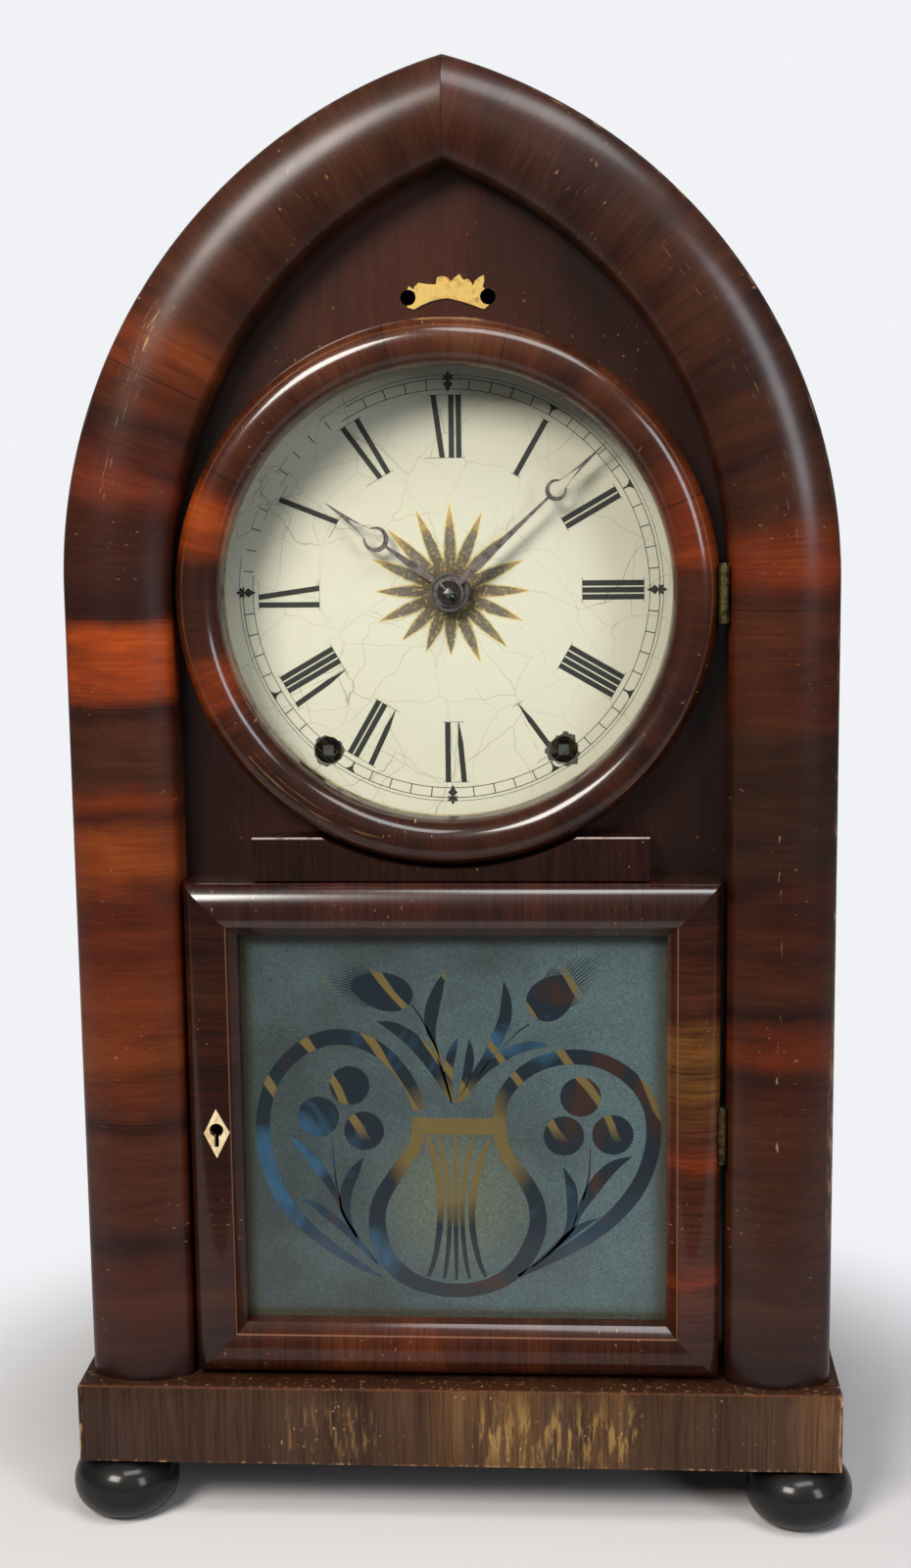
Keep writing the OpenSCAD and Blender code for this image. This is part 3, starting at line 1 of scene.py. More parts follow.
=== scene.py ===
"""Looks of a round gothic ("beehive") shelf clock with an eight-day time and strike movement.

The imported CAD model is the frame. Its plain and inner nodes stay and get their finishes here. The
mouldings, bezel, door frame, base, feet, hands, dial painting and etched tablet are modelled here and
stand for their nodes. Sizes are in millimetres, and everything is turned to metres as it is placed.
"""

from __future__ import annotations

import logging
import math
from collections.abc import Callable, Iterator, Sequence
from contextlib import contextmanager
from dataclasses import dataclass
from enum import Enum
from functools import cache

import bpy
from mathutils import Matrix, Vector

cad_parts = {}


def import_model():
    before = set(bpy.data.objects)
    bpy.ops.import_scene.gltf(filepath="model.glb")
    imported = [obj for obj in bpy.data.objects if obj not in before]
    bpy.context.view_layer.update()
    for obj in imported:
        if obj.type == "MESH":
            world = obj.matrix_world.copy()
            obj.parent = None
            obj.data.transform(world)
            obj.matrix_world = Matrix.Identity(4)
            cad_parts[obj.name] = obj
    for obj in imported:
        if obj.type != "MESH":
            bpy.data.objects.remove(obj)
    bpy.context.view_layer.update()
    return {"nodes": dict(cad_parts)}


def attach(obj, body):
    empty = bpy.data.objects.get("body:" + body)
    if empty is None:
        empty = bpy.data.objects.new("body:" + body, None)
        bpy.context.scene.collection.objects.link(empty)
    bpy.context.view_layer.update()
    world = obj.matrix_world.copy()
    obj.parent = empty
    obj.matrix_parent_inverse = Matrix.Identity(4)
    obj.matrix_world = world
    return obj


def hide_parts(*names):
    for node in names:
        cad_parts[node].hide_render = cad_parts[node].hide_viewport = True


LOG = logging.getLogger("clock")
MM = 0.001
GRAIN_MAP = "grain"

# The two colour inputs of a Mix node, whose names its other inputs have too
UNDER = 6
OVER = 7

# Places that several pieces share, in millimetres
BASE_TOP = 51.5
FOOT_HEIGHT = 23.0
SPRING_Z = 329.7
STEP_FRONT = -39.5
FRAME_BACK = -27.3
DIAL_FRONT = -13.0
DIAL_X = -0.9
DIAL_Z = 326.7

# Two places that are no further apart than this count as one, in millimetres
NEAR = 0.001

Node = bpy.types.Node
Piece = bpy.types.Object
Socket = bpy.types.NodeSocket
Tree = bpy.types.NodeTree
Flat = tuple[float, float]
Stops = tuple[tuple[float, str], ...]
Triple = tuple[float, float, float]


def mm(x: float, y: float, z: float) -> Vector:
    """A point given in millimetres, in metres."""
    return Vector((x, y, z)) * MM


def linear(code: str) -> tuple[float, float, float, float]:
    """The linear colour of an sRGB hex code.

    Args:
        code: The colour as #rrggbb.

    Returns:
        Red, green, blue and an alpha of 1.
    """
    channels = [int(code[i : i + 2], 16) / 255 for i in (1, 3, 5)]
    red, green, blue = (c / 12.92 if c <= 0.04045 else ((c + 0.055) / 1.055) ** 2.4 for c in channels)
    return (red, green, blue, 1.0)


def spaced(start: float, end: float, count: int) -> list[float]:
    """Evenly spaced numbers.

    Args:
        start: The first number.
        end: The last number.
        count: How many steps lie between them.

    Returns:
        count + 1 numbers.
    """
    return [start + (end - start) * i / count for i in range(count + 1)]


def around(count: int, whole: float = math.tau) -> list[float]:
    """The angles of evenly spaced points on a circle, from 0 and short of the whole turn."""
    return [whole * i / count for i in range(count)]


def add(
    tree: Tree,
    kind: str,
    links: dict[str | int, object] | None = None,
    stops: Sequence[tuple[float, str]] = (),
    **settings: object,
) -> Node:
    """Adds one node to a material.

    Args:
        tree: The node tree that it goes into.
        kind: The node's type, without its ShaderNode prefix.
        links: What each input gets: a node, which gives its first output in use, one output, a plain
            value, or a hex colour.
        stops: The stops of a colour ramp, as places from 0 to 1 and hex colours.
        settings: The node's own properties.

    Returns:
        The new node.
    """
    made = tree.nodes.new("ShaderNode" + kind)
    for name, value in settings.items():
        setattr(made, name, value)
    for name, value in (links or {}).items():
        if isinstance(value, Node):
            value = next(output for output in value.outputs if output.enabled)
        if isinstance(value, Socket):
            tree.links.new(value, made.inputs[name])
        else:
            made.inputs[name].default_value = linear(value) if isinstance(value, str) else value
    if stops:
        elements = made.color_ramp.elements
        while len(elements) < len(stops):
            elements.new(0.5)
        for element, (at, code) in zip(elements, stops, strict=True):
            element.position = at
            element.color = linear(code)
    return made


# Finishes


class Lay(Enum):
    """Where a pattern takes its coordinates from."""

    PIECE = "the piece's own map, along and across it"
    BODY = "the row's own X, Y and Z"


@dataclass(frozen=True)
class Finish:
    """What every finish has: a name, where its patterns lie, and a shader that each kind makes."""

    name: str
    lay: Lay = Lay.BODY

    def place(self, tree: Tree) -> Socket:
        """The socket that gives a point's coordinates, in metres."""
        if self.lay is Lay.PIECE:
            return add(tree, "UVMap", uv_map=GRAIN_MAP).outputs["UV"]
        return add(tree, "TexCoord").outputs["Object"]

    def noise(self, tree: Tree, per_metre: float | Triple, detail: float = 3.0, twist: float = 0.0) -> Node:
        """A noise pattern with strengths from 0 to 1.

        Args:
            tree: The material's tree.
            per_metre: How many features a metre holds, the same all round or along each axis.
            detail: How many finer layers it has.
            twist: How far it is distorted.

        Returns:
            The pattern's node.
        """
        scale = per_metre if isinstance(per_metre, tuple) else (per_metre, per_metre, per_metre)
        stretched = add(tree, "Mapping", {"Vector": self.place(tree), "Scale": scale})
        links = {"Vector": stretched, "Scale": 1.0, "Detail": detail, "Roughness": 0.6, "Distortion": twist}
        return add(tree, "TexNoise", links)

    def nearness(self, tree: Tree, axis: Socket, at: float, fade: Flat, most: float = 1.0) -> Node:
        """How near a point lies to a place on one axis.

        Args:
            tree: The material's tree.
            axis: The point's coordinate on that axis.
            at: The place, in millimetres.
            fade: How far off the nearness begins to fall and how far off it ends, in millimetres.
            most: The nearness at the place itself.

        Returns:
            The node that gives the nearness.
        """
        off = add(tree, "Math", {0: axis, 1: at * MM}, operation="SUBTRACT")
        away = add(tree, "Math", {0: off}, operation="ABSOLUTE")
        start, end = (reach * MM for reach in fade)
        links = {"Value": away, "From Min": start, "From Max": end, "To Min": most, "To Max": 0.0}
        return add(tree, "MapRange", links, interpolation_type="SMOOTHSTEP")

    def shader(self, tree: Tree) -> Node:
        """The node that shows the finish."""
        raise NotImplementedError

    def build(self) -> bpy.types.Material:
        """The finish as a material."""
        made = bpy.data.materials.new(self.name)
        made.use_nodes = True
        tree = made.node_tree
        tree.nodes.clear()
        add(tree, "OutputMaterial", {"Surface": self.shader(tree)})
        return made


@dataclass(frozen=True)
class WearAndSheenLine:
    """A line or arris of colour: mostly rubbed wear, and a few painted highlights and reflections.

    It lies where one axis, and for an arris a second one, has a given place in millimetres. The rest says
    how far it reaches off that place, how strong and pale it is, how far along the piece, and how broken.
    """

    axis: int
    at: float
    half: float
    strength: float = 0.8
    colour: str = "#b08a60"
    span: Flat = (-1000.0, 1000.0)
    broken: Flat = (0.52, 0.6)
    arris: tuple[tuple[int, float], ...] = ()


@dataclass(frozen=True)
class Veneer(Finish):
    """Mahogany or rosewood veneer under old shellac.

    Bands of heartwood and sapwood give the colour along the piece, fine fibres streak it, the shellac
    gives a soft wet gloss, and rubbed edges and flecks show the paler wood below. The bezel's bands also
    hold painted light and shade, and a few of the pale lines are painted highlights and reflections.
    """

    bands: Stops = ((0.0, "#4a2415"), (100.0, "#4a2415"))
    along: int = 0
    sway: float = 8.0
    figure: Triple = (60.0, 14.0, 14.0)
    figured: float = 0.75
    figure_shades: Stops = ((0.3, "#60483c"), (0.5, "#d6c4b8"), (0.66, "#ffffff"))
    fibres: Triple = (900.0, 40.0, 40.0)
    streaked: float = 0.6
    fibre_shades: Stops = ((0.36, "#5a463c"), (0.5, "#dacec6"), (0.6, "#ffffff"))
    roughness: float = 0.36
    sheen: float = 0.1
    coat: float = 0.5
    coat_roughness: float = 0.18
    joints: tuple[float, ...] = ()
    joint_half: float = 0.16
    joint_colour: str = "#150a06"
    scuff: Triple = (30.0, 800.0, 800.0)
    wear_and_sheen_lines: tuple[WearAndSheenLine, ...] = ()
    flecks: float = 0.35
    fleck_size: Triple = (640.0, 330.0, 480.0)
    fleck_colour: str = "#a98258"

    def banded(self, tree: Tree, along: Socket) -> Node:
        """The colour of the wood along the piece, with wavering edges between its bands."""
        first, last = self.bands[0][0], self.bands[-1][0]
        waver = self.noise(tree, 45.0)
        swayed = add(tree, "Math", {0: waver, 1: self.sway * MM, 2: along}, operation="MULTIPLY_ADD")
        low, high = ((end + self.sway / 2) * MM for end in (first, last))
        spot = add(tree, "MapRange", {"Value": swayed, "From Min": low, "From Max": high})
        stops = [((at - first) / (last - first), code) for at, code in self.bands]
        return add(tree, "ValToRGB", {0: spot}, stops)

    def jointed(self, tree: Tree, along: Socket, colour: Node) -> Node:
        """The colour with a dark hair line at each joint."""
        for joint in self.joints:
            links = {0: along, 1: joint * MM, 2: self.joint_half * MM}
            line = add(tree, "Math", links, operation="COMPARE")
            colour = add(tree, "Mix", {0: line, UNDER: colour, OVER: self.joint_colour}, data_type="RGBA")
        return colour

    def rubbed(self, tree: Tree, parts: Node, colour: Node) -> Node:
        """The colour with the rubbed lines and the painted highlight and reflection lines laid over it."""
        patches = self.noise(tree, self.scuff, detail=4.0)
        for wear_sheen_line in self.wear_and_sheen_lines:
            low, high = wear_sheen_line.broken
            links = {"Value": patches, "From Min": low, "From Max": high, "To Max": wear_sheen_line.strength}
            share = add(tree, "MapRange", links)
            middle, reach = (wear_sheen_line.span[0] + wear_sheen_line.span[1]) / 2, (wear_sheen_line.span[1] - wear_sheen_line.span[0]) / 2
            links = {0: parts.outputs[self.along], 1: middle * MM, 2: reach * MM}
            held = add(tree, "Math", links, operation="COMPARE")
            share = add(tree, "Math", {0: share, 1: held}, operation="MULTIPLY")
            for axis, at in ((wear_sheen_line.axis, wear_sheen_line.at), *wear_sheen_line.arris):
                near = self.nearness(tree, parts.outputs[axis], at, (0.0, wear_sheen_line.half))
                share = add(tree, "Math", {0: share, 1: near}, operation="MULTIPLY")
            colour = add(tree, "Mix", {0: share, UNDER: colour, OVER: wear_sheen_line.colour}, data_type="RGBA")
        return colour

    def flecked(self, tree: Tree, colour: Node) -> Node:
        """The colour with pale flecks strewn over some of it."""
        specks = self.noise(tree, self.fleck_size, detail=1.0)
        sparse = self.noise(tree, 28.0, detail=1.0)
        chosen = add(tree, "MapRange", {"Value": specks, "From Min": 0.7, "From Max": 0.76})
        links = {"Value": sparse, "From Min": 0.5, "From Max": 0.62, "To Max": self.flecks}
        where = add(tree, "MapRange", links)
        share = add(tree, "Math", {0: chosen, 1: where}, operation="MULTIPLY")
        return add(tree, "Mix", {0: share, UNDER: colour, OVER: self.fleck_colour}, data_type="RGBA")

    def shader(self, tree: Tree) -> Node:
        """The veneer's shader."""
        parts = add(tree, "SeparateXYZ", {0: self.place(tree)})
        along = parts.outputs[self.along]
        clouds = self.noise(tree, self.figure, detail=5.0, twist=0.5)
        strands = self.noise(tree, self.fibres, detail=4.0)
        colour = self.banded(tree, along)
        patterns = ((clouds, self.figure_shades, self.figured), (strands, self.fibre_shades, self.streaked))
        for pattern, shades, share in patterns:
            shade = add(tree, "ValToRGB", {0: pattern}, shades)
            links = {0: share, UNDER: colour, OVER: shade}
            colour = add(tree, "Mix", links, data_type="RGBA", blend_type="MULTIPLY")
        colour = self.rubbed(tree, parts, self.jointed(tree, along, colour))
        dull, glossy = self.roughness + 0.07, self.roughness - 0.05
        links = {"Value": clouds, "From Min": 0.3, "From Max": 0.7, "To Min": dull, "To Max": glossy}
        rough = add(tree, "MapRange", links)
        ripple = self.noise(tree, 160.0, detail=2.0)
        height = add(tree, "Math", {0: ripple, 1: 1.5, 2: strands}, operation="MULTIPLY_ADD")
        surface = {
            "Base Color": self.flecked(tree, colour),
            "Roughness": rough,
            "Specular IOR Level": self.sheen,
            "Coat Weight": self.coat,
            "Coat Roughness": self.coat_roughness,
            "Normal": add(tree, "Bump", {"Strength": 0.22, "Distance": 0.2 * MM, "Height": height}),
        }
        return add(tree, "BsdfPrincipled", surface)


@dataclass(frozen=True)
class Metal(Finish):
    """A metal that has aged: its bright colour, the tarnish that clouds it, and how rough each is."""

    bright: str = "#b08d3c"
    tarnish: str = "#4c3d1e"
    share: float = 0.5
    cloud: float = 260.0
    roughness: float = 0.4
    metallic: float = 1.0

    def shader(self, tree: Tree) -> Node:
        """The metal's shader."""
        clouds = self.noise(tree, self.cloud, detail=5.0)
        middle = 0.62 - 0.24 * self.share
        low, high = middle - 0.12, middle + 0.12
        darkening = add(tree, "MapRange", {"Value": clouds, "From Min": low, "From Max": high})
        smooth_part, dull_part = self.roughness - 0.08, min(1.0, self.roughness + 0.18)
        grit = self.noise(tree, 2600.0, detail=2.0)
        links = {0: darkening, UNDER: self.bright, OVER: self.tarnish}
        surface = {
            "Base Color": add(tree, "Mix", links, data_type="RGBA"),
            "Roughness": add(tree, "MapRange", {"Value": darkening, "To Min": smooth_part, "To Max": dull_part}),
            "Metallic": self.metallic,
            "Normal": add(tree, "Bump", {"Strength": 0.2, "Distance": 0.1 * MM, "Height": grit}),
        }
        return add(tree, "BsdfPrincipled", surface)


@dataclass(frozen=True)
class Coating(Finish):
    """A plain coat such as paint, shellac, putty or bone, in a main colour that a second one clouds."""

    main: str = "#141312"
    second: str = "#2a2725"
    cloud: float = 120.0
    spread: float = 0.14
    roughness: float = 0.4
    sheen: float = 0.5
    coat: float = 0.0
    coat_roughness: float = 0.1
    relief: float = 0.1

    def shader(self, tree: Tree) -> Node:
        """The coating's shader."""
        clouds = self.noise(tree, self.cloud, detail=6.0)
        low, high = 0.5 - self.spread, 0.5 + self.spread
        share = add(tree, "MapRange", {"Value": clouds, "From Min": low, "From Max": high})
        dull = min(1.0, self.roughness + 0.1)
        links = {0: share, UNDER: self.main, OVER: self.second}
        surface = {
            "Base Color": add(tree, "Mix", links, data_type="RGBA"),
            "Roughness": add(tree, "MapRange", {"Value": share, "To Min": self.roughness, "To Max": dull}),
            "Specular IOR Level": self.sheen,
            "Coat Weight": self.coat,
            "Coat Roughness": self.coat_roughness,
            "Normal": add(tree, "Bump", {"Strength": self.relief, "Distance": 0.2 * MM, "Height": clouds}),
        }
        return add(tree, "BsdfPrincipled", surface)


@dataclass(frozen=True)
class CrazedPaint(Finish):
    """Cream oil paint on a zinc sheet, crazed with age by coarse and fine nets of hair cracks.

    A net is how many cells a metre holds, how wide its cracks are as a share of a cell, and how strong.
    """

    main: str = "#c3c1b1"
    aged: str = "#bab6a2"
    crack: str = "#8f8b75"
    nets: tuple[Triple, ...] = ((46.0, 0.007, 0.85), (25.3, 0.0035, 0.6))
    wander: float = 0.016

    def shader(self, tree: Tree) -> Node:
        """The paint's shader."""
        clouds = self.noise(tree, 22.0, detail=4.0)
        colour = add(tree, "Mix", {0: clouds, UNDER: self.main, OVER: self.aged}, data_type="RGBA")
        bend = add(tree, "TexNoise", {"Vector": self.place(tree), "Scale": 34.0, "Detail": 3.0})
        links = {0: bend.outputs["Color"], 1: (0.5, 0.5, 0.5)}
        centred = add(tree, "VectorMath", links, operation="SUBTRACT")
        push = add(tree, "VectorMath", {0: centred, "Scale": self.wander}, operation="SCALE")
        bent = add(tree, "VectorMath", {0: self.place(tree), 1: push}, operation="ADD")
        faint = self.noise(tree, 31.0, detail=1.0)
        for cells, width, strength in self.nets:
            net = add(tree, "TexVoronoi", {"Vector": bent, "Scale": cells}, feature="DISTANCE_TO_EDGE")
            core = width * 0.4
            links = {"Value": net, "From Min": core, "From Max": width, "To Min": strength, "To Max": 0.0}
            line = add(tree, "MapRange", links)
            links = {"Value": faint, "From Min": 0.4, "From Max": 0.6, "To Min": 0.4, "To Max": 1.0}
            broken = add(tree, "MapRange", links)
            share = add(tree, "Math", {0: line, 1: broken}, operation="MULTIPLY")
            colour = add(tree, "Mix", {0: share, UNDER: colour, OVER: self.crack}, data_type="RGBA")
        bump = add(tree, "Bump", {"Strength": 0.15, "Distance": 0.3 * MM, "Height": clouds})
        return add(tree, "BsdfPrincipled", {"Base Color": colour, "Roughness": 0.5, "Normal": bump})


@dataclass(frozen=True)
class RadialPaint(Finish):
    """Worn bronze paint round the hands: its colour changes from the hub to the tips, and it is flaked."""

    rings: Stops = ((0.0, "#4a3a22"), (30.0, "#9a6a30"))
    flaked: str = "#c08a4a"
    amount: float = 0.55
    sway: float = 16.0

    def shader(self, tree: Tree) -> Node:
        """The paint's shader."""
        links = {0: self.place(tree), 1: mm(DIAL_X, DIAL_FRONT, DIAL_Z)}
        away = add(tree, "VectorMath", links, operation="DISTANCE")
        waver = self.noise(tree, 150.0, detail=4.0)
        swayed = add(tree, "Math", {0: waver, 1: self.sway * MM, 2: away}, operation="MULTIPLY_ADD")
        last = self.rings[-1][0]
        low, high = self.sway / 2 * MM, (last + self.sway / 2) * MM
        spot = add(tree, "MapRange", {"Value": swayed, "From Min": low, "From Max": high})
        colour = add(tree, "ValToRGB", {0: spot}, [(at / last, code) for at, code in self.rings])
        flakes = self.noise(tree, 900.0, detail=4.0)
        links = {"Value": flakes, "From Min": 0.52, "From Max": 0.7, "To Max": self.amount}
        share = add(tree, "MapRange", links)
        surface = {
            "Base Color": add(tree, "Mix", {0: share, UNDER: colour, OVER: self.flaked}, data_type="RGBA"),
            "Roughness": 0.6,
            "Metallic": 0.15,
            "Normal": add(tree, "Bump", {"Strength": 0.25, "Distance": 0.1 * MM, "Height": flakes}),
        }
        return add(tree, "BsdfPrincipled", surface)


@dataclass(frozen=True)
class WindowPane(Finish):
    """Clear crown glass: it hides nothing, and mirrors a little more towards its edges."""

    def shader(self, tree: Tree) -> Node:
        """The glass's shader, which mirrors only where a ray enters the glass."""
        clear = add(tree, "BsdfTransparent", {"Color": "#fefffe"})
        mirror = add(tree, "BsdfGlossy", {"Color": "#ffffff", "Roughness": 0.05})
        slant = add(tree, "Fresnel", {"IOR": 1.3})
        inner = add(tree, "NewGeometry").outputs["Backfacing"]
        outer = add(tree, "Math", {0: 1.0, 1: inner}, operation="SUBTRACT")
        share = add(tree, "Math", {0: slant, 1: outer}, operation="MULTIPLY")
        return add(tree, "MixShader", {0: share, 1: clear, 2: mirror})


@dataclass(frozen=True)
class FrostedPane(Finish):
    """Acid-frosted glass in front of a dark case: blue-grey and sparkling, warmer inside the lyre."""

    cold: str = "#4a5b5d"
    deep: str = "#303b3a"
    warm: str = "#585e4e"
    # The colour that the glass darkens to along the four edges of the opening
    darkening: str = "#3c3826"
    low: Flat = (-74.2, 71.5)
    high: Flat = (73.2, 211.1)
    heart: Triple = (0.4, -34.5, 116.0)
    heart_fade: Flat = (6.0, 36.0)
    edge_fade: Flat = (1.0, 5.5)

    def shader(self, tree: Tree) -> Node:
        """The glass's shader."""
        parts = add(tree, "SeparateXYZ", {0: self.place(tree)})
        clouds = self.noise(tree, 24.0, detail=4.0)
        slope = add(tree, "Math", {0: parts.outputs["X"], 1: -2.6, 2: clouds}, operation="MULTIPLY_ADD")
        mapped = add(tree, "MapRange", {"Value": slope, "From Min": 0.3, "From Max": 0.75})
        colour = add(tree, "Mix", {0: mapped, UNDER: self.cold, OVER: self.deep}, data_type="RGBA")
        centre = add(tree, "VectorMath", {0: self.place(tree), 1: mm(*self.heart)}, operation="DISTANCE")
        near, far = self.heart_fade
        links = {"Value": centre, "From Min": near * MM, "From Max": far * MM, "To Min": 0.9, "To Max": 0.0}
        glow = add(tree, "MapRange", links, interpolation_type="SMOOTHSTEP")
        colour = add(tree, "Mix", {0: glow, UNDER: colour, OVER: self.warm}, data_type="RGBA")
        # Darker along the four edges of the opening, next to the frame
        for corner in (self.low, self.high):
            for axis, at in zip("XZ", corner, strict=True):
                edge = self.nearness(tree, parts.outputs[axis], at, self.edge_fade, 0.75)
                colour = add(tree, "Mix", {0: edge, UNDER: colour, OVER: self.darkening}, data_type="RGBA")
        sparkle = self.noise(tree, 1900.0, detail=2.0)
        grit = add(tree, "ValToRGB", {0: sparkle}, [(0.4, "#b8bcbc"), (0.62, "#ffffff")])
        links = {0: 0.8, UNDER: colour, OVER: grit}
        surface = {
            "Base Color": add(tree, "Mix", links, data_type="RGBA", blend_type="MULTIPLY"),
            "Roughness": 0.42,
            "Coat Weight": 0.25,
            "Coat Roughness": 0.08,
            "Normal": add(tree, "Bump", {"Strength": 0.3, "Distance": 0.1 * MM, "Height": sparkle}),
        }
        return add(tree, "BsdfPrincipled", surface)


@dataclass(frozen=True)
class ClearedGlass(Finish):
    """The unfrosted lines of the tablet, painted with what lies behind them: painted shade for the unlit
    inside of the case, a painted blue reflection low down towards the sides, and the brass bob and gong.

    The brass shows as gold bars in the design's upper half and as a gold glow in the lyre.
    """

    # The near-black and the brown are painted shade inside the case; the blue is a painted reflection
    painted_inside_shade: str = "#0f1b22"
    blue: str = "#25465c"
    brown: str = "#2c1a13"
    gold: str = "#5c4f2c"
    reflection_below: Flat = (122.0, 84.0)
    reflection_beyond: Flat = (30.0, 42.0)
    bars_above: Flat = (136.0, 142.0)
    bars_lean: float = 32.0
    heart: Triple = (0.6, -34.5, 133.0)
    heart_fade: Flat = (24.0, 34.0)

    def bars(self, tree: Tree) -> Node:
        """The leaning bars of brass."""
        turn = (0.0, math.radians(self.bars_lean), 0.0)
        turned = add(tree, "Mapping", {"Vector": self.place(tree), "Rotation": turn})
        links = {"Vector": turned, "Scale": 17.0, "Distortion": 2.4, "Detail": 2.0, "Detail Scale": 1.4}
        waves = add(tree, "TexWave", links, bands_direction="X")
        return add(tree, "MapRange", {"Value": waves.outputs["Fac"], "From Min": 0.93, "From Max": 0.96})

    def shader(self, tree: Tree) -> Node:
        """The glass's shader."""
        parts = add(tree, "SeparateXYZ", {0: self.place(tree)})
        clouds = self.noise(tree, (26.0, 26.0, 20.0), detail=3.0, twist=0.6)
        shades = [(0.38, self.brown), (0.46, self.painted_inside_shade), (0.56, self.painted_inside_shade), (0.68, self.blue)]
        dark = add(tree, "ValToRGB", {0: clouds}, shades)
        # A painted blue reflection, low down and out towards the sides
        start, end = (at * MM for at in self.reflection_below)
        links = {"Value": parts.outputs["Z"], "From Min": start, "From Max": end, "To Max": 0.55}
        low = add(tree, "MapRange", links)
        side = add(tree, "Math", {0: parts.outputs["X"]}, operation="ABSOLUTE")
        start, end = (at * MM for at in self.reflection_beyond)
        outer = add(tree, "MapRange", {"Value": side, "From Min": start, "From Max": end})
        reflection_share = add(tree, "Math", {0: low, 1: outer}, operation="MULTIPLY")
        colour = add(tree, "Mix", {0: reflection_share, UNDER: dark, OVER: self.blue}, data_type="RGBA")
        start, end = (at * MM for at in self.bars_above)
        high = add(tree, "MapRange", {"Value": parts.outputs["Z"], "From Min": start, "From Max": end})
        gilded = add(tree, "Math", {0: self.bars(tree), 1: high}, operation="MULTIPLY")
        colour = add(tree, "Mix", {0: gilded, UNDER: colour, OVER: self.gold}, data_type="RGBA")
        centre = add(tree, "VectorMath", {0: self.place(tree), 1: mm(*self.heart)}, operation="DISTANCE")
        waver = self.noise(tree, 60.0)
        swayed = add(tree, "Math", {0: waver, 1: 12 * MM, 2: centre}, operation="MULTIPLY_ADD")
        start, end = (at * MM for at in self.heart_fade)
        links = {"Value": swayed, "From Min": start, "From Max": end, "To Min": 0.95, "To Max": 0.0}
        glow = add(tree, "MapRange", links)
        surface = {
            "Base Color": add(tree, "Mix", {0: glow, UNDER: colour, OVER: self.gold}, data_type="RGBA"),
            "Roughness": 0.3,
            "Coat Weight": 0.3,
            "Coat Roughness": 0.08,
        }
        return add(tree, "BsdfPrincipled", surface)


@dataclass(frozen=True)
class PaperSweep(Finish):
    """Matt paper that fades into the glowing backdrop further off, for the camera's own rays only."""

    paper: str = "#c6c4c5"
    backdrop: str = "#f1f2f5"
    fade: Flat = (0.15, 0.3)

    def shader(self, tree: Tree) -> Node:
        """The paper's shader."""
        matt = add(tree, "BsdfDiffuse", {"Color": self.paper})
        glow = add(tree, "Emission", {"Color": self.backdrop, "Strength": 1.0})
        away = add(tree, "VectorMath", {0: self.place(tree)}, operation="LENGTH")
        links = {"Value": away, "From Min": self.fade[0], "From Max": self.fade[1]}
        far = add(tree, "MapRange", links, interpolation_type="SMOOTHSTEP")
        path = add(tree, "LightPath")
        share = add(tree, "Math", {0: far, 1: path.outputs["Is Camera Ray"]}, operation="MULTIPLY")
        return add(tree, "MixShader", {0: share, 1: matt, 2: glow})


# Mahogany crossband on the left half of the case moulding, from the base up and over to the mitre
LEFT_BAND = Veneer(
    "crossbanded_mahogany_left",
    lay=Lay.PIECE,
    bands=(
        (0, "#23120d"), (12, "#3b1d13"), (40, "#411e13"), (50, "#23100a"), (58, "#402115"),
        (86, "#462315"), (92, "#230f0a"), (98, "#4b2212"), (118, "#693316"), (140, "#592712"),
        (170, "#5a2612"), (178, "#703416"), (194, "#783816"), (201, "#3d190d"), (207, "#632b12"),
        (214, "#3d2115"), (232, "#402115"), (238, "#2c140c"), (244, "#8b3b18"), (264, "#933f13"),
        (270, "#27130d"), (286, "#341a12"), (304, "#38190f"), (313, "#5c2716"), (324, "#4c2114"),
        (334, "#2f1810"), (346, "#5c2a13"), (360, "#74381a"), (374, "#402214"), (430, "#3c2216"),
        (486, "#3f2417"),
    ),
    figured=0.7,
    streaked=0.3,
    coat=0.32,
    coat_roughness=0.28,
    scuff=(130.0, 800.0, 800.0),
    joints=(93.5, 238.5, 269.0, 350.0),
    wear_and_sheen_lines=(
        WearAndSheenLine(1, 36.6, 1.2, 0.5, broken=(0.56, 0.64)),
        WearAndSheenLine(1, 26.0, 5.0, 0.5, "#b08c58", (346.0, 374.0), (0.54, 0.66)),
        WearAndSheenLine(1, 24.0, 5.0, 0.3, "#a0825c", (308.0, 346.0), (0.58, 0.68)),
    ),
)

# The same crossband on the right half, darker and more streaked
RIGHT_BAND = Veneer(
    "crossbanded_mahogany_right",
    lay=Lay.PIECE,
    bands=(
        (0, "#26140d"), (20, "#331a10"), (70, "#3b1f11"), (112, "#3b1c10"), (118, "#5c260e"),
        (128, "#4c210e"), (133, "#210f08"), (142, "#3c1d0f"), (176, "#411f10"), (184, "#2c1a10"),
        (226, "#2c1a0e"), (234, "#431f10"), (268, "#462110"), (274, "#37190c"), (282, "#6a2c10"),
        (294, "#5d280f"), (304, "#341a0e"), (350, "#3a1f12"), (400, "#3a2014"), (430, "#33201a"),
        (486, "#442317"),
    ),
    figured=0.8,
    streaked=0.35,
    coat=0.4,
    coat_roughness=0.24,
    scuff=(130.0, 800.0, 800.0),
    joints=(132.5, 270.0, 352.0),
    wear_and_sheen_lines=(
        WearAndSheenLine(1, 36.4, 1.3, 0.6, "#a88660", broken=(0.56, 0.64)),
        WearAndSheenLine(1, 36.0, 2.2, 0.45, "#a07a56", (51.0, 120.0), (0.46, 0.58)),
        WearAndSheenLine(1, 17.0, 1.2, 0.45, "#b39a7c", (70.0, 195.0), (0.6, 0.66)),
        WearAndSheenLine(1, 20.0, 6.0, 0.2, "#9a8060", (285.0, 400.0), (0.6, 0.7)),
    ),
)

ARCH_BANDS = {"left": LEFT_BAND, "right": RIGHT_BAND}
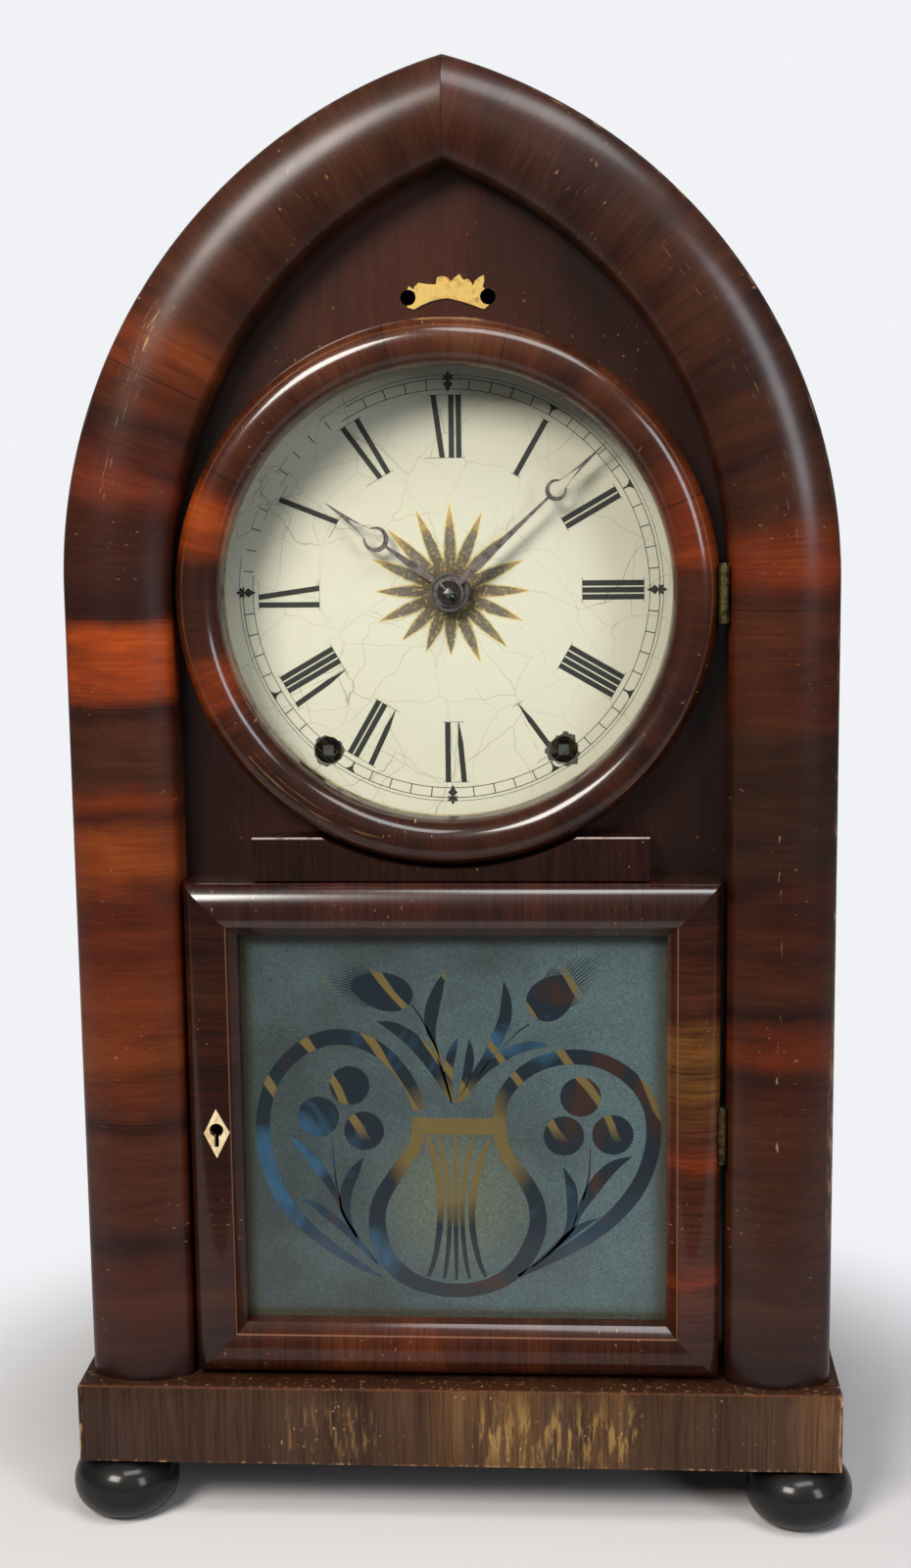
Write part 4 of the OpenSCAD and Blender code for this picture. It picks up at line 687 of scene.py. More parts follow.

# The bezel was banded in eight or so pieces; each joint shows as a hair line across the ring. Its bands run
# lighter round the top and darker round the bottom: the wood's own tone with painted light and shade in it,
# and one pale line round it is a painted reflection
BEZEL_BAND_AND_PAINTED_LIGHT = Veneer(
    "crossbanded_mahogany_bezel_painted_light",
    lay=Lay.PIECE,
    bands=(
        # Lighter round the top of the ring, near 131 mm, and darker round the bottom: painted light and
        # shade mixed into the bands
        (0, "#341a10"), (11, "#3c1d0e"), (16, "#7e3612"), (32, "#873b10"), (40, "#411e0e"),
        (70, "#432214"), (100, "#4e2b1a"), (150, "#532f1d"), (185, "#442416"), (215, "#3c1d0e"),
        (234, "#612810"), (250, "#713112"), (258, "#3e1d0e"), (300, "#2f160e"), (350, "#361a0e"),
        (412, "#31180e"), (450, "#2b160e"), (480, "#3b1d0e"), (488, "#703012"), (502, "#773412"),
        (508, "#381c10"), (526, "#341a10"),
    ),
    figured=0.75,
    streaked=0.3,
    fibres=(700.0, 50.0, 40.0),
    roughness=0.32,
    coat=0.6,
    coat_roughness=0.12,
    joints=(42.0, 113.0, 152.0, 232.0, 287.0, 352.0, 412.0, 482.0),
    flecks=0.5,
    wear_and_sheen_lines=(
        # A painted reflection: a pale line round the ring about 3 mm inside its outer edge
        WearAndSheenLine(1, 12.6, 0.5, 0.3, "#8a5a3a", broken=(0.4, 0.56)),
        WearAndSheenLine(1, 9.0, 4.0, 0.4, "#a98258", (412.0, 470.0), (0.56, 0.64)),
    ),
)

# The door's rails and stiles are banded across, with a painted highlight along the arris of their inner
# bevel
DOOR_BANDS = {
    "left": (
        (0, "#26110a"), (30, "#371a0c"), (60, "#31150b"), (92, "#250f08"), (120, "#37190b"),
        (150, "#30170b"), (176, "#33170e"),
    ),
    "right": (
        (0, "#3a1a0e"), (32, "#45200f"), (36, "#743112"), (43, "#46200d"), (74, "#431f0e"),
        (78, "#783312"), (85, "#45200f"), (98, "#512e15"), (106, "#6f4c21"), (124, "#6b461e"),
        (130, "#412010"), (176, "#33190e"),
    ),
    "top": ((-92, "#2a130b"), (-40, "#371911"), (10, "#3c1c12"), (60, "#32180b"), (92, "#29130b")),
    "bottom": ((-92, "#2d150c"), (-50, "#43200d"), (-10, "#51250f"), (40, "#3d1c0b"), (92, "#2d150b")),
}
DOOR_VENEER_AND_HIGHLIGHT = {
    side: Veneer(
        "crossbanded_mahogany_door_" + side,
        lay=Lay.PIECE,
        bands=bands,
        figured=0.8,
        roughness=0.32,
        coat=1.0 if side == "top" else 0.5,
        coat_roughness=0.16 if side == "top" else 0.1,
        flecks=0.4,
        scuff=(130.0, 600.0, 600.0),
        # The painted highlight along the arris of the inner bevel
        wear_and_sheen_lines=(WearAndSheenLine(1, 3.5, 0.35, 0.8, "#7c5640", broken=(0.2, 0.4)),),
    )
    for side, bands in DOOR_BANDS.items()
}

# The base's facings have upright grain, rubbed to a golden brown where the clock was held
BASE_VENEER = Veneer(
    "mahogany_base_veneer",
    bands=(
        (-133, "#33231a"), (-80, "#412d20"), (-30, "#432f21"), (-14, "#4c3524"), (-4, "#64492d"),
        (4, "#5e452b"), (10, "#513a27"), (24, "#664c2d"), (32, "#4e3827"), (44, "#4c3626"),
        (56, "#664c30"), (62, "#483323"), (112, "#443023"), (126, "#6a4f34"), (133, "#503828"),
    ),
    figure=(80.0, 30.0, 12.0),
    fibres=(1300.0, 1300.0, 34.0),
    figured=0.7,
    streaked=0.5,
    sway=14.0,
    roughness=0.44,
    coat=0.2,
    flecks=0.6,
    scuff=(560.0, 560.0, 90.0),
    wear_and_sheen_lines=(
        WearAndSheenLine(2, 35.0, 18.0, 0.7, "#92723e", (8.0, 64.0), (0.5, 0.6)),
        WearAndSheenLine(2, 35.0, 17.0, 0.45, "#86663a", (-62.0, -28.0), (0.54, 0.64)),
        WearAndSheenLine(2, 51.5, 0.7, 0.85, "#2a150b", broken=(0.0, 0.1)),
        WearAndSheenLine(2, 51.5, 0.5, 0.5, "#8a6a4c", broken=(0.6, 0.66)),
        WearAndSheenLine(2, 51.3, 0.8, 0.4, "#6c422a", broken=(0.3, 0.5), arris=((1, -50.8),)),
        WearAndSheenLine(2, 23.2, 1.2, 0.6, arris=((1, -50.8),)),
        WearAndSheenLine(0, 133.3, 1.6, 0.8, arris=((1, -50.8),)),
        WearAndSheenLine(0, -133.3, 1.6, 0.6, arris=((1, -50.8),)),
    ),
)

PANEL_VENEER = Veneer(
    "dark_rosewood_panel",
    bands=(
        (-125, "#1c0d07"), (-80, "#210f09"), (-40, "#3c2015"), (0, "#3e2117"), (50, "#2f180f"),
        (92, "#241109"), (125, "#1c0d07"),
    ),
    figure=(30.0, 30.0, 10.0),
    fibres=(800.0, 800.0, 30.0),
    streaked=0.2,
    roughness=0.32,
    coat=0.6,
    coat_roughness=0.18,
    flecks=0.25,
)

STEP_VENEER = Veneer(
    "dark_rosewood_step",
    bands=((-70, "#28140c"), (0, "#24120b"), (70, "#2a160d")),
    figure=(60.0, 60.0, 16.0),
    fibres=(1200.0, 1200.0, 40.0),
    streaked=0.5,
    roughness=0.4,
    coat=0.3,
    flecks=0.5,
    scuff=(200.0, 200.0, 200.0),
    wear_and_sheen_lines=(WearAndSheenLine(2, 244.9, 0.9, 0.9, "#b4a49c", broken=(0.3, 0.5), arris=((1, STEP_FRONT),)),),
)

SIDE_VENEER = Veneer(
    "mahogany_side_veneer",
    along=2,
    bands=(
        (50, "#3c2118"), (140, "#4e2a1c"), (230, "#44241a"), (330, "#55301f"), (420, "#4a2f20"),
        (502, "#4c3626"),
    ),
    figure=(14.0, 16.0, 40.0),
    fibres=(40.0, 60.0, 900.0),
    sway=14.0,
    roughness=0.4,
    coat=0.3,
)

BEAD_WOOD = Veneer(
    "stained_glazing_bead",
    bands=((-80, "#3b2417"), (80, "#3b2417")),
    roughness=0.6,
    coat=0.0,
    fibres=(400.0, 400.0, 400.0),
    flecks=0.2,
)

# Old pine is honey brown, with a darker line for each year's late wood
PINE = Veneer(
    "aged_pine",
    bands=((-140, "#9a7448"), (-60, "#8a643c"), (20, "#9c764a"), (90, "#8c683f"), (140, "#967048")),
    figure=(120.0, 120.0, 5.0),
    fibres=(420.0, 420.0, 9.0),
    streaked=0.45,
    figured=0.4,
    sway=5.0,
    roughness=0.72,
    coat=0.0,
    flecks=0.1,
)

AGED_BRASS = Metal("aged_hinge_brass", bright="#6c6038", tarnish="#2e291a", share=0.65, roughness=0.45)
BRASS = Metal("lacquered_movement_brass", bright="#c2a050", tarnish="#80622c", share=0.4, roughness=0.3)
STEEL = Metal("bright_steel", bright="#9a9a98", tarnish="#5a5550", share=0.4, roughness=0.32)
SPRING_STEEL = Metal("blued_spring_steel", bright="#4a5566", tarnish="#2b2a2e", share=0.4, roughness=0.3)
DARK_STEEL = Metal(
    "browned_steel", bright="#7a6f6c", tarnish="#463b39", cloud=420.0, roughness=0.42, metallic=0.4
)
HUB_STEEL = Metal(
    "blacked_steel_hub",
    bright="#45403c",
    tarnish="#191615",
    share=0.55,
    cloud=500.0,
    metallic=0.8,
)
GILT = Metal(
    "pressed_gilt_brass",
    bright="#cfae62",
    tarnish="#8f6a2c",
    share=0.25,
    cloud=420.0,
    roughness=0.42,
    metallic=0.5,
)
BLACK_SHELLAC = Coating(
    "ebonised_shellac",
    main="#0c0b0b",
    second="#131211",
    cloud=160.0,
    roughness=0.45,
    sheen=0.12,
    coat=0.35,
    coat_roughness=0.15,
)
BONE = Coating("inlaid_bone", main="#d9cba4", second="#a98a5c", cloud=330.0, spread=0.2, coat=0.3)
PUTTY = Coating("old_linseed_putty", main="#9a8c6c", second="#7c6f52", cloud=300.0, roughness=0.85)
DIAL_INK = Coating(
    "black_dial_ink", main="#0e0f0c", second="#23241d", cloud=900.0, spread=0.3, roughness=0.5
)
FAINT_INK = Coating(
    "worn_dial_ink", main="#77735a", second="#bdb897", cloud=260.0, spread=0.1, roughness=0.5
)
BARE_ZINC = Coating("bared_zinc", main="#4c493c", second="#2d2c25", cloud=700.0, roughness=0.6, relief=0.5)
DIAL_PAINT = CrazedPaint("crazed_dial_paint")
BURST = RadialPaint(
    "worn_bronze_paint",
    rings=(
        (0.0, "#2e2416"), (8.0, "#4c3d22"), (11.0, "#544b3c"), (19.0, "#5e5850"), (22.5, "#776548"),
        (26.0, "#a08556"), (31.0, "#c9a868"),
    ),
    flaked="#b59a60",
    amount=0.75,
)
BURST_STAIN = RadialPaint(
    "bronze_paint_oil_stain",
    rings=((0.0, "#6b5426"), (12.0, "#a08a4c"), (20.0, "#c2b27a"), (31.0, "#cfc79c")),
    flaked="#d2ccaa",
    amount=0.7,
)
PANE = WindowPane("crown_glass")
FROSTED = FrostedPane("acid_frosted_glass")
CLEARED = ClearedGlass("clear_lines_in_frosted_glass")
PAPER = PaperSweep("matt_paper_sweep")


@cache
def material_of(finish: Finish) -> bpy.types.Material:
    """The one material that a finish makes, however many pieces wear it."""
    return finish.build()


def dress(piece: Piece, finish: Finish) -> None:
    """Gives a piece one finish all over."""
    material = material_of(finish)
    if not piece.material_slots:
        piece.data.materials.append(material)
    for slot in piece.material_slots:
        slot.material = material


# Modelling


def pick(piece: Piece) -> None:
    """Makes a piece the only one that is selected, and the active one."""
    bpy.ops.object.select_all(action="DESELECT")
    piece.select_set(True)
    bpy.context.view_layer.objects.active = piece


@contextmanager
def edit_mode(piece: Piece, kind: str = "FACE") -> Iterator[None]:
    """Edit mode on one piece with all of it selected.

    Args:
        piece: The object to edit.
        kind: What is selected: VERT, EDGE or FACE.
    """
    pick(piece)
    bpy.ops.object.mode_set(mode="EDIT")
    bpy.ops.mesh.select_mode(type=kind)
    bpy.ops.mesh.select_all(action="SELECT")
    yield
    bpy.ops.object.mode_set(mode="OBJECT")


def outward(piece: Piece) -> None:
    """Merges a piece's doubled points and turns its faces outwards."""
    with edit_mode(piece):
        bpy.ops.mesh.remove_doubles(threshold=0.002 * MM)
        bpy.ops.mesh.normals_make_consistent(inside=False)


def smooth(piece: Piece, degrees: float = 28.0) -> None:
    """Shades a piece smooth, apart from edges sharper than an angle."""
    pick(piece)
    bpy.ops.object.shade_smooth_by_angle(angle=math.radians(degrees))


def loop_of(name: str, points: Sequence[Vector], filled: bool = True) -> Piece:
    """A circle primitive with a corner for each point, laid on those points.

    Args:
        name: The piece's name.
        points: The corners in order, in metres.
        filled: Whether it is a face or only its edge.

    Returns:
        The new object.
    """
    bpy.ops.object.select_all(action="DESELECT")
    fill = "NGON" if filled else "NOTHING"
    bpy.ops.mesh.primitive_circle_add(vertices=len(points), radius=MM, fill_type=fill)
    piece = bpy.context.active_object
    piece.name = name
    piece.data.name = name
    for vertex, point in zip(piece.data.vertices, points, strict=True):
        vertex.co = point
    return piece


def extrude(piece: Piece, move: Vector) -> None:
    """Pulls the whole of a flat piece out into a solid."""
    with edit_mode(piece):
        bpy.ops.mesh.extrude_region_move(TRANSFORM_OT_translate={"value": tuple(move)})
    outward(piece)


def turned(
    name: str, outline: Sequence[Vector], axis: Triple, steps: int, centre: Triple = (0.0, 0.0, 0.0)
) -> Piece:
    """A solid turned from an outline.

    Args:
        name: The piece's name.
        outline: The corners of one side of its section, in metres.
        axis: The way that the lathe's axis points.
        steps: How many flats go round it.
        centre: A point on the axis, in metres.

    Returns:
        The new object.
    """
    piece = loop_of(name, outline, filled=False)
    with edit_mode(piece, "EDGE"):
        bpy.ops.mesh.spin(steps=steps, angle=math.tau, center=centre, axis=axis)
    outward(piece)
    return piece


def plate(name: str, outline: Sequence[Flat], y: float, depth: float) -> Piece:
    """A flat shape seen from the front.

    Args:
        name: The piece's name.
        outline: Its corners as X and Z.
        y: Where its front lies.
        depth: How far it goes back.

    Returns:
        The new object.
    """
    piece = loop_of(name, [mm(x, y, z) for x, z in outline])
    extrude(piece, mm(0, depth, 0))
    return piece


def ring_plate(name: str, outer: Sequence[Flat], inner: Sequence[Flat], y: float, depth: float) -> Piece:
    """A flat band between two outlines of as many corners each, seen from the front.

    Args:
        name: The piece's name.
        outer: The outer corners as X and Z.
        inner: The inner corners, in the same order.
        y: Where its front lies.
        depth: How far it goes back.

    Returns:
        The new object.
    """
    piece = loop_of(name, [mm(x, y, z) for x, z in outer], filled=False)
    with edit_mode(piece, "EDGE"):
        bpy.ops.mesh.extrude_region_move(TRANSFORM_OT_translate={"value": (0, 0, 0)})
    for vertex, (x, z) in zip(piece.data.vertices[len(outer) :], inner, strict=True):
        vertex.co = mm(x, y, z)
    extrude(piece, mm(0, depth, 0))
    return piece


def block(name: str, low: Triple, high: Triple) -> Piece:
    """A box between two corners, in millimetres."""
    corners = [(low[0], low[2]), (high[0], low[2]), (high[0], high[2]), (low[0], high[2])]
    return plate(name, corners, low[1], high[1] - low[1])


def join(name: str, pieces: Sequence[Piece]) -> Piece:
    """Joins pieces into one object and names it."""
    pick(pieces[0])
    for piece in pieces[1:]:
        piece.select_set(True)
    bpy.ops.object.join()
    pieces[0].name = name
    pieces[0].data.name = name
    return pieces[0]


def copy_of(piece: Piece, move: Matrix) -> Piece:
    """A copy of a piece with its own mesh, moved in the mesh."""
    made = piece.copy()
    made.data = piece.data.copy()
    made.data.transform(move)
    bpy.context.collection.objects.link(made)
    return made


def cut(piece: Piece, cutter: Piece) -> None:
    """Cuts one piece's shape out of another and removes the cutter."""
    modifier = piece.modifiers.new("cut", "BOOLEAN")
    modifier.operation = "DIFFERENCE"
    modifier.object = cutter
    modifier.solver = "EXACT"
    pick(piece)
    bpy.ops.object.modifier_apply(modifier=modifier.name)
    bpy.data.objects.remove(cutter)


def slice_off(piece: Piece, point: Vector, normal: Vector) -> None:
    """Cuts away what lies behind a plane and closes the cut.

    Args:
        piece: The object to cut.
        point: A point on the plane.
        normal: The way to the side that stays.
    """
    with edit_mode(piece):
        bpy.ops.mesh.bisect(plane_co=tuple(point), plane_no=tuple(normal), use_fill=True, clear_inner=True)


def bevel_where(
    piece: Piece, chosen: Callable[[Vector, Vector], bool], width: float, steps: int = 2
) -> None:
    """Rounds the edges that a test picks by their two ends, in metres.

    Args:
        piece: The object.
        chosen: Says of an edge's two ends whether it is rounded.
        width: The round's width in millimetres.
        steps: How many strips it has.
    """
    with edit_mode(piece, "EDGE"):
        bpy.ops.mesh.select_all(action="DESELECT")
    points = piece.data.vertices
    for edge in piece.data.edges:
        edge.select = chosen(points[edge.vertices[0]].co, points[edge.vertices[1]].co)
    bpy.ops.object.mode_set(mode="EDIT")
    bpy.ops.mesh.bevel(offset=width * MM, segments=steps, affect="EDGES")
    bpy.ops.object.mode_set(mode="OBJECT")


def map_grain(piece: Piece, place: Callable[[Vector], Flat], turn: float = 0.0) -> None:
    """Writes the map that a veneer's grain follows: how far along and across the piece a point lies.

    Args:
        piece: The object.
        place: Gives the two from a point, both in metres.
        turn: The length of one whole turn, for a piece that runs round.
    """
    layer = piece.data.uv_layers.new(name=GRAIN_MAP)
    for polygon in piece.data.polygons:
        middle = place(polygon.center)[0]
        for index in polygon.loop_indices:
            along, across = place(piece.data.vertices[piece.data.loops[index].vertex_index].co)
            if turn and along - middle > turn / 2:
                along -= turn
            elif turn and middle - along > turn / 2:
                along += turn
            layer.data[index].uv = (along, across)


def clock_point(radius: float, degrees: float, sideways: float = 0.0) -> Flat:
    """A point of the dial as X and Z.

    Args:
        radius: How far from the dial's middle it lies.
        degrees: Its angle, clockwise from twelve.
        sideways: How far it lies off that ray, clockwise.

    Returns:
        The point.
    """
    a = math.radians(degrees)
    x = radius * math.sin(a) + sideways * math.cos(a)
    z = radius * math.cos(a) - sideways * math.sin(a)
    return DIAL_X + x, DIAL_Z + z


def mirrored(half: Sequence[Flat]) -> list[Flat]:
    """An outline that is alike on both sides of its axis.

    Args:
        half: One side's points, as how far along the axis and how far off it.

    Returns:
        The points of both sides, with those on the axis only once.
    """
    return [*half, *((along, -off) for along, off in reversed(half) if off)]


def between(p: float, q: float, r: float, s: float, t: float) -> float:
    """A smooth curve's value at a share t of the way from q to r, with p before them and s after."""
    bend = 2 * p - 5 * q + 4 * r - s
    sway = 3 * q - p - 3 * r + s
    return 0.5 * (2 * q + (r - p) * t + bend * t * t + sway * t**3)


def flowing(points: Sequence[Triple], steps: int = 6) -> list[Triple]:
    """A smooth line through points, each with a half width that changes smoothly too.

    Args:
        points: X, Z and the half width at each point.
        steps: How many short stretches lie between two points.

    Returns:
        The line's points.
    """
    ends = [points[0], *points, points[-1]]
    line = []
    for a, b, c, d in zip(ends, ends[1:], ends[2:], ends[3:], strict=False):
        for i in range(steps):
            fours = zip(a, b, c, d, strict=True)
            line.append(tuple(between(*four, i / steps) for four in fours))
    return [*line, points[-1]]


def ribbon(points: Sequence[Triple], steps: int = 6) -> list[Flat]:
    """The outline of a line whose width changes.

    Args:
        points: X, Z and the half width at each point.
        steps: How many short stretches lie between two points.

    Returns:
        The outline's corners, down one side and back up the other.
    """
    line = flowing(points, steps)
    left, right = [], []
    for i, (x, z, half) in enumerate(line):
        before, after = line[max(i - 1, 0)], line[min(i + 1, len(line) - 1)]
        dx, dz = after[0] - before[0], after[1] - before[1]
        size = math.hypot(dx, dz) or 1.0
        left.append((x - dz / size * half, z + dx / size * half))
        right.append((x + dz / size * half, z - dx / size * half))
    return left + right[::-1]


def settle(piece: Piece, finish: Finish, body: str, slot: str, *nodes: str) -> Piece:
    """Dresses a finished piece, lets it ride on its body and hides the CAD nodes that it stands for.

    Args:
        piece: The object.
        finish: Its finish.
        body: The CAD body that it moves with.
        slot: Not used.
        nodes: The CAD nodes that it replaces.

    Returns:
        The same object.
    """
    dress(piece, finish)
    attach(piece, body)
    if nodes:
        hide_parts(*nodes)
    LOG.info("%s: %d faces on %s", piece.name, len(piece.data.polygons), body)
    return piece


@dataclass(frozen=True)
class Cushion:
    """The section of a cushion moulding, in millimetres."""

    width: float
    dome: float
    corner: float
    side: float

    def outline(self) -> list[Flat]:
        """Its outline, open at the back.

        Returns:
            Points as how far from the inner edge and how far in front of the edges' ends, outer edge first.
        """
        half = self.width / 2 - self.corner
        big = (half**2 + self.dome**2 - self.corner**2) / (2 * (self.dome - self.corner))
        lean = math.atan2(big - self.dome, half)
        outer = [(half + self.corner * math.cos(t), self.corner * math.sin(t)) for t in spaced(0, lean, 7)]
        turns = spaced(lean, math.pi - lean, 26)
        crown = [(big * math.cos(t), self.dome - big + big * math.sin(t)) for t in turns]
        inner = [(-x, h) for x, h in reversed(outer)]
        return [(x + self.width / 2, h) for x, h in outer + crown[1:-1] + inner]


# Sub-assemblies


@dataclass
class ArchMoulding:
    """One half of the case's front moulding: a pillar that bends over in an arch and ends in a mitre."""

    side: int
    section: Cushion = Cushion(36.8, 10.0, 6.0, 10.0)
    inner_x: float = 93.4
    edge_y: float = -37.0
    outer_centre: float = 47.5
    inner_centre: float = 54.2
    mitre_gap: float = 0.06
    arc_steps: int = 64
    arc_degrees: float = 78.0
    pocket_low: Triple = (-98.4, -31.65, 137.7)
    pocket_high: Triple = (-92.4, -28.45, 146.3)

    @property
    def outer_radius(self) -> float:
        """The radius of the arch's outer curve."""
        return self.inner_x + self.section.width + self.outer_centre

    def width_at(self, angle: float) -> float:
        """The arch's width across at an angle of its outer curve, which narrows towards the top."""
        inner_radius = self.inner_x + self.inner_centre
        step = self.inner_centre - self.outer_centre
        reach = step * math.cos(angle) + self.outer_radius
        square = step**2 + 2 * step * self.outer_radius * math.cos(angle) + self.outer_radius**2
        return reach - math.sqrt(reach**2 - square + inner_radius**2)

    def bend(self, piece: Piece, section: Sequence[Flat]) -> None:
        """Pulls the section up the pillar, spins it round the arch and narrows each turn of it."""
        pillar = tuple(mm(0, 0, SPRING_Z - BASE_TOP))
        centre = tuple(mm(-self.outer_centre, 0, SPRING_Z))
        turn = math.radians(self.arc_degrees)
        with edit_mode(piece):
            bpy.ops.mesh.extrude_region_move(TRANSFORM_OT_translate={"value": pillar})
            bpy.ops.mesh.spin(steps=self.arc_steps, angle=turn, center=centre, axis=(0, 1, 0))
        for step, angle in enumerate(spaced(0, turn, self.arc_steps)[1:], start=1):
            share = self.width_at(angle) / self.section.width
            for i, (across, proud) in enumerate(section):
                radius = self.outer_radius - (self.section.width - across) * share
                x = -self.outer_centre + radius * math.cos(angle)
                z = SPRING_Z + radius * math.sin(angle)
                piece.data.vertices[(step + 1) * len(section) + i].co = mm(x, self.edge_y - proud, z)

    def grain(self, point: Vector) -> Flat:
        """How far up and across the moulding a point lies, in metres, with its sides unrolled."""
        x, z = abs(point.x) / MM, point.z / MM
        if z <= SPRING_Z:
            along, across = z - BASE_TOP, x - self.inner_x
        else:
            ridge = self.outer_radius - self.section.width / 2
            away = math.hypot(x + self.outer_centre, z - SPRING_Z)
            along = SPRING_Z - BASE_TOP + ridge * math.atan2(z - SPRING_Z, x + self.outer_centre)
            across = self.section.width - self.outer_radius + away
        behind = max(0.0, point.y / MM - self.edge_y)
        across += behind if across > self.section.width / 2 else -behind
        return along * MM, across * MM

    def build(self) -> None:
        """Models the half and puts it in place."""
        width, back = self.section.width, -self.section.side
        section = [(width, back), *self.section.outline(), (0.0, back)]
        points = [mm(self.inner_x + across, self.edge_y - proud, BASE_TOP) for across, proud in section]
        side = "left" if self.side < 0 else "right"
        piece = loop_of("moulding_" + side, points)
        self.bend(piece, section)
        slice_off(piece, mm(self.mitre_gap, 0, 0), Vector((1, 0, 0)))
        if self.side < 0:
            piece.data.transform(Matrix.Diagonal((-1, 1, 1, 1)))
            outward(piece)
            cut(piece, block("bolt_pocket", self.pocket_low, self.pocket_high))
        outward(piece)
        smooth(piece)
        map_grain(piece, self.grain)
        settle(piece, ARCH_BANDS[side], "case", "case_veneer", "arch_moulding_" + side)


@dataclass
class Base:
    """The base's three veneered facings and the four bun feet below it."""

    half_width: float = 133.5
    half_depth: float = 51.0
    facing: float = 8.0
    edge_round: float = 0.7
    foot_radius: float = 18.75
    sole_share: float = 0.7
    foot_x: float = 120.0
    foot_y: float = 37.5

    def facing_piece(self, side: str, plan: Sequence[Flat]) -> None:
        """One facing: its plan pulled up to the base's height, with its long arrises rounded."""
        piece = loop_of("base_" + side, [mm(x, y, FOOT_HEIGHT) for x, y in plan])
        extrude(piece, mm(0, 0, BASE_TOP - FOOT_HEIGHT))
        front, flank, near = self.half_depth * MM, self.half_width * MM, NEAR * MM

        def outside(point: Vector) -> bool:
            return abs(point.y + front) < near or abs(abs(point.x) - flank) < near

        def level(a: Vector, b: Vector) -> bool:
            return outside(a) and outside(b) and abs(a.z - b.z) < near

        bevel_where(piece, level, self.edge_round)
        smooth(piece)
        settle(piece, BASE_VENEER, "case", "base_veneer", "plinth_" + side)

    def foot_outline(self) -> list[Flat]:
        """Half of a bun foot's section, as radii and heights from the sole's middle to the top's."""
        half = FOOT_HEIGHT / 2
        swell = self.foot_radius - half
        turns = spaced(-math.pi / 2, math.pi / 2, 22)
        belly = [(swell + half * math.cos(t), half + half * math.sin(t)) for t in turns]
        sole = [(0.0, 0.0), (swell * self.sole_share, 0.0)]
        return [*sole, *belly[1:-1], (swell, FOOT_HEIGHT), (0.0, FOOT_HEIGHT)]

    def feet(self) -> None:
        """Turns one foot and sets a copy at each corner."""
        pattern = turned("bun_foot", [mm(r, 0, z) for r, z in self.foot_outline()], (0, 0, 1), 64)
        smooth(pattern, 40.0)
        for row, y in (("front", -self.foot_y), ("back", self.foot_y)):
            for side, x in (("left", -self.foot_x), ("right", self.foot_x)):
                foot = copy_of(pattern, Matrix.Translation(mm(x, y, 0)))
                foot.name = f"foot_{row}_{side}"
                settle(foot, BLACK_SHELLAC, "case", "foot_black", "bun_feet")
        bpy.data.objects.remove(pattern)

    def build(self) -> None:
        """Models the facings and the feet."""
        w, d, t = self.half_width, self.half_depth, self.facing
        self.facing_piece("front", [(-w, -d), (w, -d), (w - t, -d + t), (-w + t, -d + t)])
        self.facing_piece("left", [(-w, -d), (-w + t, -d + t), (-w + t, d), (-w, d)])
        self.facing_piece("right", [(w, -d), (w, d), (w - t, d), (w - t, -d + t)])
        self.feet()


@dataclass(frozen=True)
class HingeRoom:
    """The room for a hinge's leaf and barrel in the edge of what the hinge carries, in millimetres."""

    x: float
    z: float
    y: float = -40.5
    half: float = 9.75
    leaf_in: float = 1.4
    leaf_out: float = 6.0
    leaf_front: float = 2.0
    leaf_back: float = 2.0
    barrel: float = 2.0
    spare: float = 0.8

    def cut_from(self, piece: Piece) -> None:
        """Cuts the room out of a piece."""
        low, high = self.z - self.half, self.z + self.half
        near = (self.x - self.leaf_in, self.y - self.leaf_front, low)
        cut(piece, block("leaf_room", near, (self.x + self.leaf_out, FRAME_BACK - self.leaf_back, high)))
        rim = [(self.barrel * math.cos(t), self.barrel * math.sin(t)) for t in around(32)]
        room = loop_of("barrel_room", [mm(self.x + dx, self.y + dy, low - self.spare) for dx, dy in rim])
        extrude(room, mm(0, 0, high - low + 2 * self.spare))
        cut(piece, room)


@dataclass
class Bezel:
    """The turned and banded ring that holds the dial's glass."""

    section: Cushion = Cushion(15.5, 7.0, 4.5, 9.0)
    inner_radius: float = 76.0
    edge_y: float = -36.3
    glass_y: float = -30.9
    rabbet: float = 3.0
    steps: int = 192
    hinge: HingeRoom = HingeRoom(91.4, DIAL_Z)

    @property
    def mean_radius(self) -> float:
        """The radius of the ring's middle."""
        return self.inner_radius + self.section.width / 2

    def grain(self, point: Vector) -> Flat:
        """How far round the ring, clockwise from nine, and out across it a point lies, in metres."""
        x, z = point.x - DIAL_X * MM, point.z - DIAL_Z * MM
        angle = math.atan2(z, -x) % math.tau
        return self.mean_radius * MM * angle, math.hypot(x, z) - self.inner_radius * MM

    def build(self) -> None:
        """Turns the ring, cuts its hinge in and puts it in place."""
        inner, outer = self.inner_radius, self.inner_radius + self.section.width
        face = [(inner + across, self.edge_y - proud) for across, proud in self.section.outline()]
        seat = inner + self.rabbet
        back = [(inner, self.glass_y), (seat, self.glass_y), (seat, FRAME_BACK), (outer, FRAME_BACK)]
        outline = [mm(DIAL_X + r, y, DIAL_Z) for r, y in face + back]
        ring = turned("bezel_moulding", outline, (0, 1, 0), self.steps, tuple(mm(DIAL_X, 0, DIAL_Z)))
        self.hinge.cut_from(ring)
        smooth(ring)
        map_grain(ring, self.grain, turn=math.tau * self.mean_radius * MM)
        settle(ring, BEZEL_BAND_AND_PAINTED_LIGHT, "bezel", "door_veneer", "bezel_ring")


